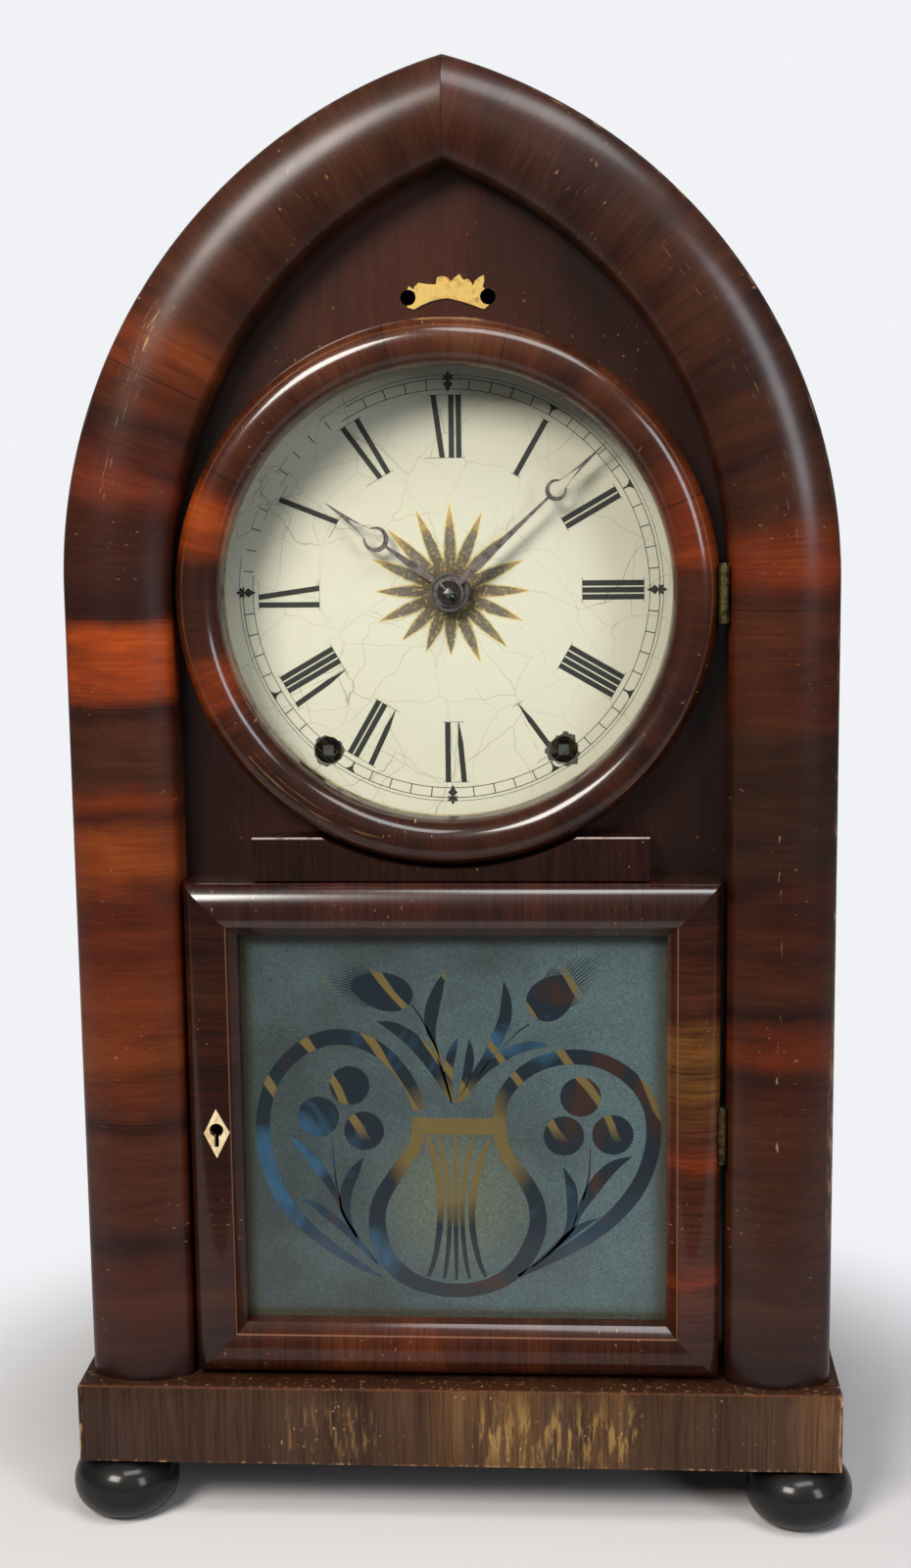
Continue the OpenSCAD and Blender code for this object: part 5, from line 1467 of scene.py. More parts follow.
@dataclass
class LowerDoor:
    """The frame of the lower door: two stiles and two rails, mitred at the corners."""

    section: Cushion = Cushion(18.2, 6.0, 4.5, 12.2)
    left: float = -92.4
    right: float = 91.4
    low: float = 53.3
    high: float = 229.3
    edge_y: float = -39.5
    glass_y: float = -34.5
    rabbet: float = 3.0
    strip: float = 3.6
    strip_drop: float = 0.3
    mitre_gap: float = 0.035
    key: Flat = (-82.4, 142.0)
    keyhole: float = 4.8
    keyhole_round: Flat = (-68.0, 248.0)
    keyhole_cut: Flat = (-50.0, 20.0)
    lock_low: Triple = (-12.0, -5.5, -14.0)
    lock_high: Triple = (5.0, 2.0, 14.0)
    hinge: HingeRoom = HingeRoom(91.8, 140.5)

    def profile(self) -> list[Flat]:
        """The section of a rail, as how far from its inner edge and its Y, with the bevel by the glass."""
        corner = self.section.corner
        top = self.edge_y - math.sqrt(corner**2 - (corner - self.strip) ** 2)
        outline = self.section.outline()
        face = [(across, self.edge_y - proud) for across, proud in outline if across > self.strip]
        bevel = [(self.strip, top), (0.0, top + self.strip - self.strip_drop)]
        rabbet = [(0.0, self.glass_y), (self.rabbet, self.glass_y), (self.rabbet, FRAME_BACK)]
        return [(self.section.width, FRAME_BACK), *face, *bevel, *rabbet]

    def member(
        self, name: str, at: Callable[[float, float], Vector], length: Vector, corners: Sequence[Flat]
    ) -> Piece:
        """One rail or stile, cut to its mitres.

        Args:
            name: The piece's name.
            at: Gives the point of its first end from a profile point.
            length: The way to its other end.
            corners: The door's corners at both its ends, in the front view.

        Returns:
            The new object.
        """
        piece = loop_of(name, [at(across, y) for across, y in self.profile()])
        extrude(piece, length)
        middle = Vector(((self.left + self.right) / 2, 0, (self.low + self.high) / 2))
        own_middle = Vector((sum(c[0] for c in corners) / 2, 0, sum(c[1] for c in corners) / 2))
        for x, z in corners:
            slope = Vector((1 if x < middle.x else -1, 0, 1 if z < middle.z else -1))
            normal = Vector((-slope.z, 0, slope.x)).normalized()
            if normal.dot(own_middle - Vector((x, 0, z))) < 0:
                normal.negate()
            slice_off(piece, mm(x, 0, z) + normal * self.mitre_gap * MM, normal)
        outward(piece)
        return piece

    def keyed(self, stile: Piece) -> None:
        """Cuts the lock's room and the keyhole out of the left stile."""
        x, z = self.key
        low, high = ((x + dx, FRAME_BACK + dy, z + dz) for dx, dy, dz in (self.lock_low, self.lock_high))
        cut(stile, block("lock_room", low, high))
        radius, slot = self.keyhole / 2, self.keyhole / 6
        start, end = (math.radians(degrees) for degrees in self.keyhole_round)
        top = z + self.keyhole / 4
        bow = [(x + radius * math.cos(t), top + radius * math.sin(t)) for t in spaced(start, end, 26)]
        foot = [(x - slot, z - self.keyhole), (x + slot, z - self.keyhole)]
        cut(stile, plate("keyhole", [*bow, *foot], *self.keyhole_cut))

    def build(self) -> None:
        """Models the four pieces and puts them in place."""
        left, right, low, high = self.left, self.right, self.low, self.high
        in_left, in_right = left + self.section.width, right - self.section.width
        in_low, in_high = low + self.section.width, high - self.section.width
        tall, wide = mm(0, 0, high - low), mm(right - left, 0, 0)
        low_left, low_right, high_left, high_right = (left, low), (right, low), (left, high), (right, high)
        pieces = {}
        for name, at, length, corners in (
            ("stile_left", lambda a, y: mm(in_left - a, y, low), tall, (low_left, high_left)),
            ("stile_right", lambda a, y: mm(in_right + a, y, low), tall, (low_right, high_right)),
            ("rail_bottom", lambda a, y: mm(left, y, in_low - a), wide, (low_left, low_right)),
            ("rail_top", lambda a, y: mm(left, y, in_high + a), wide, (high_left, high_right)),
        ):
            pieces[name.split("_")[1]] = self.member(name, at, length, corners)
        self.keyed(pieces["left"])
        self.hinge.cut_from(pieces["right"])
        grain: dict[str, Callable[[Vector], Flat]] = {
            "left": lambda p: (p.z - low * MM, in_left * MM - p.x),
            "right": lambda p: (p.z - low * MM, p.x - in_right * MM),
            "bottom": lambda p: (p.x, in_low * MM - p.z),
            "top": lambda p: (p.x, p.z - in_high * MM),
        }
        for side, piece in pieces.items():
            outward(piece)
            smooth(piece, 24.0)
            map_grain(piece, grain[side])
            settle(piece, DOOR_VENEER_AND_HIGHLIGHT[side], "door", "door_veneer", "door_" + piece.name)


@dataclass
class Tablet:
    """The tablet's etched design: a lyre between two scrolls, with flowers, leaves and thistle buds."""

    front_y: float = -34.5
    glass: float = 2.0
    depth: float = 0.06
    lyre: tuple[Triple, ...] = (
        (-13.1, 144.8, 2.3), (-13.2, 138.6, 2.3), (-15.2, 132.8, 2.3), (-18.8, 127.9, 2.4),
        (-22.3, 122.5, 2.6), (-25.6, 117.1, 2.7), (-27.8, 111.0, 2.9), (-28.1, 104.8, 3.0),
        (-27.0, 98.5, 3.1), (-24.4, 92.6, 3.1), (-20.2, 87.8, 3.0), (-14.2, 84.2, 2.8),
        (-6.9, 82.0, 2.6), (0.6, 81.4, 2.5), (8.6, 82.6, 2.6), (15.8, 85.6, 2.8),
        (21.4, 90.4, 3.0), (25.2, 96.2, 3.1), (27.9, 102.7, 3.1), (28.6, 109.0, 3.0),
        (27.6, 114.9, 2.8), (25.0, 120.6, 2.6), (21.3, 126.0, 2.4), (17.8, 131.3, 2.3),
        (15.7, 137.0, 2.3), (15.3, 145.3, 2.2),
    )  # fmt: skip
    scrolls: tuple[tuple[Triple, ...], ...] = (
        (
            (-12.9, 147.4, 2.1), (-14.9, 154.4, 2.3), (-18.7, 161.0, 2.5), (-24.0, 167.0, 2.6),
            (-30.6, 171.4, 2.7), (-38.0, 173.5, 2.8), (-45.5, 173.0, 2.8), (-52.5, 170.0, 2.6),
            (-58.7, 165.0, 2.5), (-63.5, 158.5, 2.4), (-66.6, 150.6, 2.4), (-67.8, 142.2, 2.5),
            (-67.4, 132.8, 2.6), (-65.4, 124.2, 2.6), (-62.2, 116.2, 2.6), (-57.0, 108.4, 2.5),
            (-50.0, 101.5, 2.1), (-42.0, 95.3, 1.7), (-34.2, 90.3, 1.2), (-26.8, 86.3, 0.5),
        ),
        (
            (15.5, 145.4, 2.1), (16.6, 152.0, 2.3), (20.6, 158.0, 2.4), (26.7, 163.0, 2.5),
            (34.2, 166.0, 2.6), (42.0, 166.8, 2.7), (50.2, 165.6, 2.6), (57.5, 162.0, 2.6),
            (63.3, 156.8, 2.6), (67.3, 150.2, 2.6), (68.8, 142.6, 2.6), (68.4, 134.3, 2.6),
            (66.0, 125.4, 2.7), (61.7, 117.2, 2.8), (55.3, 109.5, 2.7), (47.6, 102.7, 2.5),
            (38.1, 96.5, 2.0), (28.8, 91.2, 1.3), (21.5, 87.0, 0.6),
        ),
    )  # fmt: skip
    strings: tuple[tuple[Triple, ...], ...] = (
        (
            (-10.0, 137.7, 0.7), (-7.1, 128.0, 1.1), (-5.6, 115.4, 1.2), (-6.2, 103.7, 1.1),
            (-8.1, 92.9, 0.9), (-10.3, 86.6, 0.6),
        ),
        (
            (-6.2, 137.8, 0.5), (-3.8, 127.1, 0.85), (-2.7, 113.7, 0.85), (-2.8, 102.0, 0.8),
            (-3.9, 91.1, 0.7), (-4.8, 85.8, 0.5),
        ),
        (
            (-0.3, 137.8, 0.4), (-0.4, 127.1, 0.85), (-0.4, 113.7, 1.0), (-0.4, 100.2, 0.8),
            (-0.3, 85.4, 0.5),
        ),
        (
            (6.0, 137.9, 0.4), (3.6, 127.2, 0.85), (2.0, 113.7, 0.9), (2.1, 102.0, 0.8),
            (3.2, 91.2, 0.7), (4.4, 85.8, 0.5),
        ),
        (
            (11.8, 137.5, 0.5), (8.3, 128.1, 1.1), (5.6, 115.5, 1.2), (5.5, 103.9, 1.1),
            (7.5, 93.0, 0.9), (10.0, 86.6, 0.6),
        ),
    )  # fmt: skip
    leaves: tuple[tuple[Triple, ...], ...] = (
        (
            (-2.8, 197.5, 0.05), (-5.6, 190.6, 1.8), (-7.9, 182.7, 2.4), (-8.2, 175.7, 1.6),
            (-6.4, 168.6, 0.6), (-1.3, 150.2, 0.3),
        ),
        (
            (-27.1, 179.3, 0.05), (-21.4, 177.2, 1.8), (-15.5, 173.2, 2.6), (-10.0, 167.4, 2.7),
            (-6.0, 160.8, 2.1), (-1.3, 150.2, 0.3),
        ),
        (
            (1.1, 173.6, 0.05), (-0.8, 168.7, 1.4), (-2.1, 163.4, 1.5), (-2.1, 158.2, 1.1),
            (-0.8, 150.2, 0.3),
        ),
        (
            (5.1, 173.3, 0.05), (5.2, 167.9, 1.4), (4.6, 162.6, 1.6), (2.8, 156.4, 1.1),
            (0.6, 150.2, 0.3),
        ),
        (
            (17.2, 193.8, 0.05), (18.0, 187.1, 1.7), (17.4, 180.2, 2.2), (14.7, 173.2, 2.1),
            (10.9, 166.1, 1.5), (6.1, 159.1, 1.1), (1.5, 150.4, 0.3),
        ),
        (
            (34.1, 170.5, 0.05), (27.9, 171.0, 1.3), (21.9, 169.7, 1.7), (16.4, 166.8, 1.8),
            (11.6, 163.1, 1.3), (7.6, 158.2, 0.6), (2.4, 150.6, 0.3),
        ),
        ((-14.7, 185.3, 0.3), (-9.9, 177.4, 0.35), (-5.7, 167.8, 0.35), (-3.4, 160.0, 0.3)),
        ((25.8, 178.6, 0.2), (21.1, 174.8, 0.25), (15.4, 168.7, 0.25)),
        ((-43.4, 138.0, 0.15), (-43.0, 127.7, 0.3), (-42.2, 119.6, 0.35), (-40.9, 113.3, 0.4)),
        (
            (-58.7, 137.7, 0.05), (-54.1, 133.4, 1.4), (-49.5, 127.6, 1.9), (-45.3, 121.4, 1.6),
            (-42.3, 115.1, 0.9), (-39.5, 107.9, 0.5), (-34.4, 99.8, 0.5), (-27.6, 90.4, 0.4),
        ),
        (
            (-32.5, 130.1, 0.05), (-35.8, 125.0, 1.8), (-38.6, 118.7, 2.1), (-39.4, 112.4, 1.9),
            (-38.2, 106.6, 1.0), (-35.3, 100.4, 0.3),
        ),
        (
            (-55.1, 115.2, 0.05), (-50.2, 112.5, 1.2), (-44.7, 108.3, 1.6), (-39.1, 103.2, 1.4),
            (-33.6, 96.7, 0.7), (-28.5, 91.2, 0.3),
        ),
        (
            (61.5, 131.2, 0.05), (54.9, 127.6, 1.9), (49.8, 122.2, 2.4), (45.5, 115.5, 1.9),
            (42.9, 110.1, 0.9), (39.9, 103.3, 0.5), (31.2, 94.4, 0.4),
        ),
        (
            (37.4, 127.1, 0.05), (40.0, 120.3, 1.7), (40.6, 113.2, 1.9), (39.9, 106.9, 1.5),
            (36.6, 100.2, 0.6), (29.6, 93.0, 0.3),
        ),
        (
            (49.8, 108.6, 0.05), (43.8, 105.6, 1.1), (37.7, 100.8, 1.2), (32.1, 95.8, 0.8),
            (26.2, 90.4, 0.3),
        ),
        ((46.8, 134.0, 0.15), (46.6, 126.6, 0.25), (45.8, 121.3, 0.3), (44.2, 115.0, 0.3)),
    )  # fmt: skip
    flowers: tuple[Triple, ...] = (
        (-37.0, 156.2, 6.9), (-48.2, 144.8, 7.2), (-32.2, 139.8, 6.9),
        (43.5, 152.5, 7.0), (37.7, 138.4, 7.0), (54.7, 138.9, 7.1),
    )  # fmt: skip
    buds: tuple[tuple[float, float, float, float, float], ...] = (
        (-25.2, 190.1, 11.0, 6.6, -14.0),
        (33.8, 188.1, 9.4, 7.2, 42.0),
    )
    crossbar: tuple[Flat, ...] = ((-12.6, 144.5), (14.6, 144.5), (14.6, 138.6), (-12.6, 138.6))
    lift: float = 0.01
    petal_cuts: int = 72
    cut_out: float = 0.22
    cut_in: float = -0.12
    bud_corners: int = 60
    bud_taper: float = 0.16
    hairs_per_bud: int = 19
    hair_spread: float = 2.5
    hair_short: float = 4.2
    hair_long: float = 9.5
    hair_bunch: float = 0.55
    hair_root: float = 0.97
    hair_halves: Flat = (0.22, 0.03)

    def clear(self, name: str, outline: Sequence[Flat], lift: float = 0.0) -> Piece:
        """A thin clear shape on the glass, a little prouder where it lies over others."""
        return plate(name, outline, self.front_y - self.depth - lift, self.depth)

    def strokes(self) -> list[Piece]:
        """Every drawn line of the design, and the lyre's crossbar."""
        lines = [self.lyre, *self.scrolls, *self.strings, *self.leaves]
        made = [self.clear("stroke", ribbon(line)) for line in lines]
        return [*made, self.clear("crossbar", self.crossbar, self.lift)]

    def blooms(self) -> list[Piece]:
        """The round flowers, with finely cut edges, and the thistle buds with their hairs."""
        made = []
        for x, z, radius in self.flowers:
            outline = []
            for i, t in enumerate(around(self.petal_cuts)):
                reach = radius + (self.cut_out if i % 2 else self.cut_in)
                outline.append((x + reach * math.cos(t), z + reach * math.sin(t)))
            made.append(self.clear("flower", outline, self.lift))
        for x, z, long_half, short_half, tilt in self.buds:
            made += self.bud(x, z, long_half, short_half, math.radians(tilt))
        return made

    def bud(self, x: float, z: float, long_half: float, short_half: float, tilt: float) -> list[Piece]:
        """One bud, an oval whose far side is drawn out in fine hairs.

        Args:
            x: Its middle across.
            z: Its middle up.
            long_half: Half its length.
            short_half: Half its breadth.
            tilt: The turn of its long axis, in radians.

        Returns:
            The oval and its hairs.
        """
        away = -1 if x < 0 else 1

        def leaning(u: float, v: float) -> Flat:
            return x + u * math.cos(tilt) - v * math.sin(tilt), z + u * math.sin(tilt) + v * math.cos(tilt)

        oval = []
        for t in around(self.bud_corners):
            taper = 1.0 - self.bud_taper * math.cos(t) * away
            oval.append(leaning(long_half * math.cos(t), short_half * taper * math.sin(t)))
        made = [self.clear("bud", oval, self.lift)]
        for t in spaced(-self.hair_spread / 2, self.hair_spread / 2, self.hairs_per_bud - 1):
            share = self.hair_root
            root = leaning(away * long_half * share * math.cos(t), short_half * share * math.sin(t))
            reach = self.hair_short + self.hair_long * math.exp(-((t / self.hair_bunch) ** 2))
            tip_u = away * (long_half * math.cos(t) + reach)
            tip = leaning(tip_u, short_half * math.sin(t) * 0.9 + 2.0 * math.sin(t))
            thick, thin = self.hair_halves
            made.append(self.clear("hair", ribbon([(*root, thick), (*tip, thin)], 1)))
        return made

    def build(self) -> None:
        """Draws the whole design and lays it on the glass, and once more where it shows from inside."""
        etching = join("tablet_etching", self.strokes() + self.blooms())
        inside = copy_of(etching, Matrix.Translation(mm(0, self.glass + self.depth, 0)))
        inside.name = "tablet_etching_inside"
        for side in (etching, inside):
            settle(side, CLEARED, "door", "clear_glass")


@dataclass
class DialPainting:
    """The dial's painting: numerals, minute track, quarter markers and a sunburst round the hands.

    A circle is its radius, its width and how far it is kept into the worn part. A winding hole is where
    it lies, how far the paint round it is chipped, and a shift of the chips round it. A numeral has
    thick strokes and hair lines, each as how far sideways its inner and outer ends lie, and says
    whether its first stroke is pointed.
    """

    ink: float = 0.04
    numeral_in: float = 45.6
    numeral_out: float = 66.8
    stroke: float = 1.9
    hair: float = 0.16
    worn_track: Flat = (272.0, 331.0)
    worn_stubs: Flat = (288.0, 305.0)
    stub: float = 5.0
    circles: tuple[Triple, ...] = ((68.8, 0.24, 3.0), (72.3, 0.26, 0.0), (73.5, 0.17, 8.0))
    minute_mark: tuple[Flat, ...] = ((68.8, 0.17), (72.3, 0.17))
    fifth_mark: tuple[Flat, ...] = ((69.0, 0.34), (70.2, 0.26), (71.3, 0.75), (72.2, 1.9))
    diamond: tuple[Flat, ...] = ((67.6, 0.0), (69.6, 0.9), (70.4, 1.7), (71.3, 0.9), (72.0, 0.0))
    trefoil_bar: tuple[Flat, ...] = ((71.8, 1.7), (72.4, 1.9))
    trefoil_root: float = 72.3
    trefoil_leaves: tuple[Flat, ...] = ((-55.0, 2.1), (0.0, 2.5), (55.0, 2.1))
    leaf_half: tuple[Flat, ...] = ((0.0, 0.0), (0.35, 0.4), (0.7, 0.62), (1.0, 0.0))
    serif_reach: float = 2.0
    sharp_half: float = 0.12
    sharp_share: float = 0.34
    ray_root: float = 6.0
    ray_half: float = 1.85
    disc_outer: float = 10.2
    disc_inner: float = 4.6
    winding_holes: tuple[tuple[float, float, float, float], ...] = (
        (-44.5, 271.2, 1.0, 1.3),
        (38.0, 271.2, 2.1, 4.1),
    )
    rim_inner: float = 4.8
    rim_least: float = 4.95
    numerals: tuple[tuple[tuple[Flat, ...], tuple[Flat, ...], bool], ...] = (
        (((0.0, 0.0),), (), False),
        (((-1.25, -1.25), (1.25, 1.25)), (), False),
        (((-2.4, -2.4), (0.0, 0.0), (2.4, 2.4)), (), False),
        (((-3.6, -3.6), (-1.2, -1.2), (1.2, 1.2), (3.6, 3.6)), (), False),
        (((-0.4, -2.6),), ((0.0, 2.4),), True),
        (((-2.3, -4.1), (1.5, 1.5)), ((-2.0, -0.4),), True),
        (((-3.6, -5.4), (0.6, 0.6), (3.0, 3.0)), ((-3.2, -1.6),), True),
        (((-5.0, -6.8), (-1.2, -1.2), (1.2, 1.2), (3.6, 3.6)), ((-4.6, -3.0),), True),
        (((1.4, -1.6), (-4.3, -4.3)), ((-2.4, 2.2),), False),
        (((1.5, -1.6),), ((-2.6, 2.0),), False),
        (((-1.0, -3.4), (2.2, 2.2)), ((-4.4, 0.2),), False),
        (((-2.2, -5.1), (1.0, 1.0), (3.5, 3.5)), ((-6.2, -1.2),), False),
    )
    ray_lengths: tuple[float, ...] = (
        30.7, 29.0, 27.9, 27.1, 27.5, 27.2, 27.4, 26.8, 21.9, 22.4, 23.8, 27.3, 25.8, 29.3, 30.5, 30.3,
    )  # fmt: skip

    def across(self, degrees: float, inner: Flat, outer: Flat, pointed: bool = False) -> list[Flat]:
        """The outline of a stroke between two radii.

        Args:
            degrees: The hour's angle, clockwise from twelve.
            inner: The stroke's place sideways and its half width at the inner end.
            outer: The same at the outer end.
            pointed: Whether it runs to a point at the inner end.

        Returns:
            The corners.
        """
        low, high = self.numeral_in, self.numeral_out
        ends = [(low, inner[0], self.sharp_half if pointed else inner[1]), (high, outer[0], outer[1])]
        if pointed:
            share = self.sharp_share
            ends.insert(1, (low + share * (high - low), inner[0] + share * (outer[0] - inner[0]), outer[1]))
        right = [clock_point(r, degrees, t + half) for r, t, half in ends]
        left = [clock_point(r, degrees, t - half) for r, t, half in reversed(ends)]
        return right + left

    def hours(self) -> tuple[list[Piece], list[Piece]]:
        """The twelve numerals.

        Returns:
            Their thick strokes, and their hair lines.
        """
        thick, fine = [], []
        y = DIAL_FRONT - self.ink
        bold_half, hair_half = self.stroke / 2, self.hair / 2
        for hour, (bold, light, pointed) in enumerate(self.numerals, start=1):
            turn = 30.0 * hour
            for index, (inner, outer) in enumerate(bold):
                sharp = pointed and index == 0
                corners = self.across(turn, (inner, bold_half), (outer, bold_half), sharp)
                thick.append(plate("stroke", corners, y, self.ink))
            for inner, outer in light:
                corners = self.across(turn, (inner, hair_half), (outer, hair_half))
                fine.append(plate("hair", corners, y, self.ink))
            for radius, which in ((self.numeral_in, 0), (self.numeral_out, 1)):
                places = [pair[which] for pair in (*bold, *light)]
                low, high = min(places) - self.serif_reach, max(places) + self.serif_reach
                outline = [clock_point(radius - hair_half, turn, t) for t in spaced(low, high, 4)]
                outline += [clock_point(radius + hair_half, turn, t) for t in spaced(high, low, 4)]
                thick.append(plate("serif", outline, y + 0.005, self.ink - 0.005))
        return thick, fine

    def arc(self, radius: float, width: float, start: float, end: float) -> Piece:
        """A painted line round part of the dial.

        Args:
            radius: Its radius.
            width: Its width.
            start: The angle where it begins, clockwise from twelve.
            end: The angle where it ends.

        Returns:
            The new object.
        """
        turns = spaced(start, end, max(8, round((end - start) / 2)))
        outline = [clock_point(radius + width / 2, a) for a in turns]
        outline += [clock_point(radius - width / 2, a) for a in reversed(turns)]
        return plate("arc_line", outline, DIAL_FRONT - self.ink, self.ink)

    def track(self) -> list[Piece]:
        """The minute track: circles, minute ticks, a flared mark each fifth, a trefoil each quarter."""
        made = []
        for radius, width, kept in self.circles:
            start, end = self.worn_track[1] - kept, self.worn_track[0] + 360.0 + kept
            made.append(self.arc(radius, width, start, end))
            for at in (self.worn_stubs[0] + kept, self.worn_stubs[1] - kept):
                made.append(self.arc(radius, width * 0.6, at, at + self.stub))
        for minute, turn in enumerate(around(60, 360.0)):
            if self.worn_track[0] < turn < self.worn_track[1] and minute % 5 == 0:
                continue
            if minute % 15 == 0:
                made += self.trefoil(turn)
            elif minute % 5 == 0:
                made.append(self.mark("five_minute_mark", self.fifth_mark, turn))
            else:
                made.append(self.mark("minute_mark", self.minute_mark, turn))
        return made

    def mark(self, name: str, half: Sequence[Flat], turn: float, lift: float = 0.0) -> Piece:
        """A mark on one ray of the dial.

        Args:
            name: The piece's name.
            half: One side of its outline, as radii and how far off the ray.
            turn: The ray's angle, clockwise from twelve.
            lift: How much prouder it is than other ink.

        Returns:
            The new object.
        """
        corners = [clock_point(radius, turn, off) for radius, off in mirrored(half)]
        return plate(name, corners, DIAL_FRONT - self.ink - lift, self.ink)

    def trefoil(self, turn: float) -> list[Piece]:
        """A quarter's marker: a pointed diamond with a small bar and three leaves beyond it."""
        made = [self.mark("diamond", self.diamond, turn), self.mark("bar", self.trefoil_bar, turn, 0.005)]
        for lean, reach in self.trefoil_leaves:
            a = math.radians(lean)
            corners = []
            for share, v in mirrored(self.leaf_half):
                u = share * reach
                radius = self.trefoil_root + u * math.cos(a) - v * math.sin(a)
                corners.append(clock_point(radius, turn, u * math.sin(a) + v * math.cos(a)))
            made.append(plate("leaf", corners, DIAL_FRONT - self.ink - 0.01, self.ink))
        return made

    def sunburst(self, name: str, finish: Finish, grow: float, front: float) -> None:
        """The sixteen painted rays, or with grow above 0 the oil stain round them.

        Args:
            name: The piece's name.
            finish: Its finish.
            grow: How much wider and longer it is, in millimetres.
            front: How far it stands off the dial.
        """
        rays = []
        y = DIAL_FRONT - front
        turns = around(len(self.ray_lengths), 360.0)
        for index, (turn, length) in enumerate(zip(turns, self.ray_lengths, strict=True)):
            outline = []
            for side in (1, -1):
                edge = []
                for share in spaced(0.0, 1.0, 14):
                    radius = self.ray_root + share * (length + grow - self.ray_root)
                    leaf = self.ray_half * math.sin(math.pi * (0.3 + 0.7 * share**1.15))
                    coarse = 0.13 * math.sin(31 * share + 5 * index + side)
                    ragged = coarse + 0.09 * math.sin(57 * share + 3 * index)
                    half = max(0.06, leaf + ragged * (1 - share)) + grow * 0.7 * (1 - share**4)
                    edge.append(clock_point(radius, turn, side * half))
                outline += edge if side > 0 else edge[::-1]
            rays.append(plate("ray", outline, y - 0.001 * index, front - 0.002))
        rim = around(64, 360.0)
        outer = [clock_point(self.disc_outer + grow + 0.5 * math.sin(a * 0.35), a) for a in rim]
        inner = [clock_point(self.disc_inner, a) for a in rim]
        disc = ring_plate("disc", outer, inner, y - 0.018, front + 0.016)
        settle(join(name, [*rays, disc]), finish, "case", "dial_paint")

    def chips(self) -> None:
        """The bared, ragged edges of the paint round both winding holes."""
        rims = []
        for x, z, size, seed in self.winding_holes:
            outer, inner = [], []
            for a in around(72):
                coarse = 0.5 + 0.5 * math.sin(3 * a + seed) + 0.28 * math.sin(11 * a + seed)
                ragged = coarse + 0.16 * math.sin(29 * a)
                reach = self.rim_least + size * max(0.08, ragged) * 0.7
                outer.append((x + reach * math.cos(a), z + reach * math.sin(a)))
                inner.append((x + self.rim_inner * math.cos(a), z + self.rim_inner * math.sin(a)))
            rims.append(ring_plate("chipped_rim", outer, inner, DIAL_FRONT - 0.05, 0.05))
        settle(join("chipped_rims", rims), BARE_ZINC, "case", "dial_paint")

    def build(self) -> None:
        """Paints the dial."""
        thick, fine = self.hours()
        settle(join("dial_numerals", thick + self.track()), DIAL_INK, "case", "dial_paint")
        settle(join("dial_hair_lines", fine), FAINT_INK, "case", "dial_paint")
        self.sunburst("sunburst_stain", BURST_STAIN, 0.8, 0.03)
        self.sunburst("sunburst_rays", BURST, 0.0, 0.06)
        self.chips()


@dataclass(frozen=True)
class HandShape:
    """A moon hand that points up: half widths along it, and the pear-shaped opening in its ring."""

    hub: float
    neck: float
    shaft: tuple[Flat, ...]
    ring_at: float
    ring: float
    hole: float
    hole_shift: float
    slit_end: float
    prongs: tuple[Flat, ...]
    slit: float = 2.4
    slit_half: float = 0.5
    open_degrees: float = 52.0

    def outline(self) -> list[Flat]:
        """The hand's outer outline as X and Z, round from the right of its hub."""
        neck = math.asin(self.neck / self.hub)
        hub = [(self.hub * math.sin(t), self.hub * math.cos(t)) for t in spaced(neck, math.tau - neck, 48)]
        low = math.asin(self.shaft[-1][0] / self.ring)
        high = math.asin(self.prongs[0][0] / self.ring)
        turns = spaced(low, math.pi - high, 20)
        side = [(self.ring * math.sin(t), self.ring_at - self.ring * math.cos(t)) for t in turns]
        right = [*self.shaft, *side, *self.prongs]
        left = [(-x, z) for x, z in reversed(right)]
        return [*right, *left, *hub[::-1]]

    def opening(self) -> list[Flat]:
        """The opening's outline: a round hole drawn out to a point between the prongs."""
        middle = self.ring_at + self.hole_shift
        lean = math.radians(self.open_degrees)
        turns = spaced(math.pi - lean, math.tau + lean, 30)
        arc = [(self.hole * math.cos(t), middle + self.hole * math.sin(t)) for t in turns]
        root = self.slit_end - self.slit
        return [*arc, (self.slit_half, root), (0.0, self.slit_end), (-self.slit_half, root)]


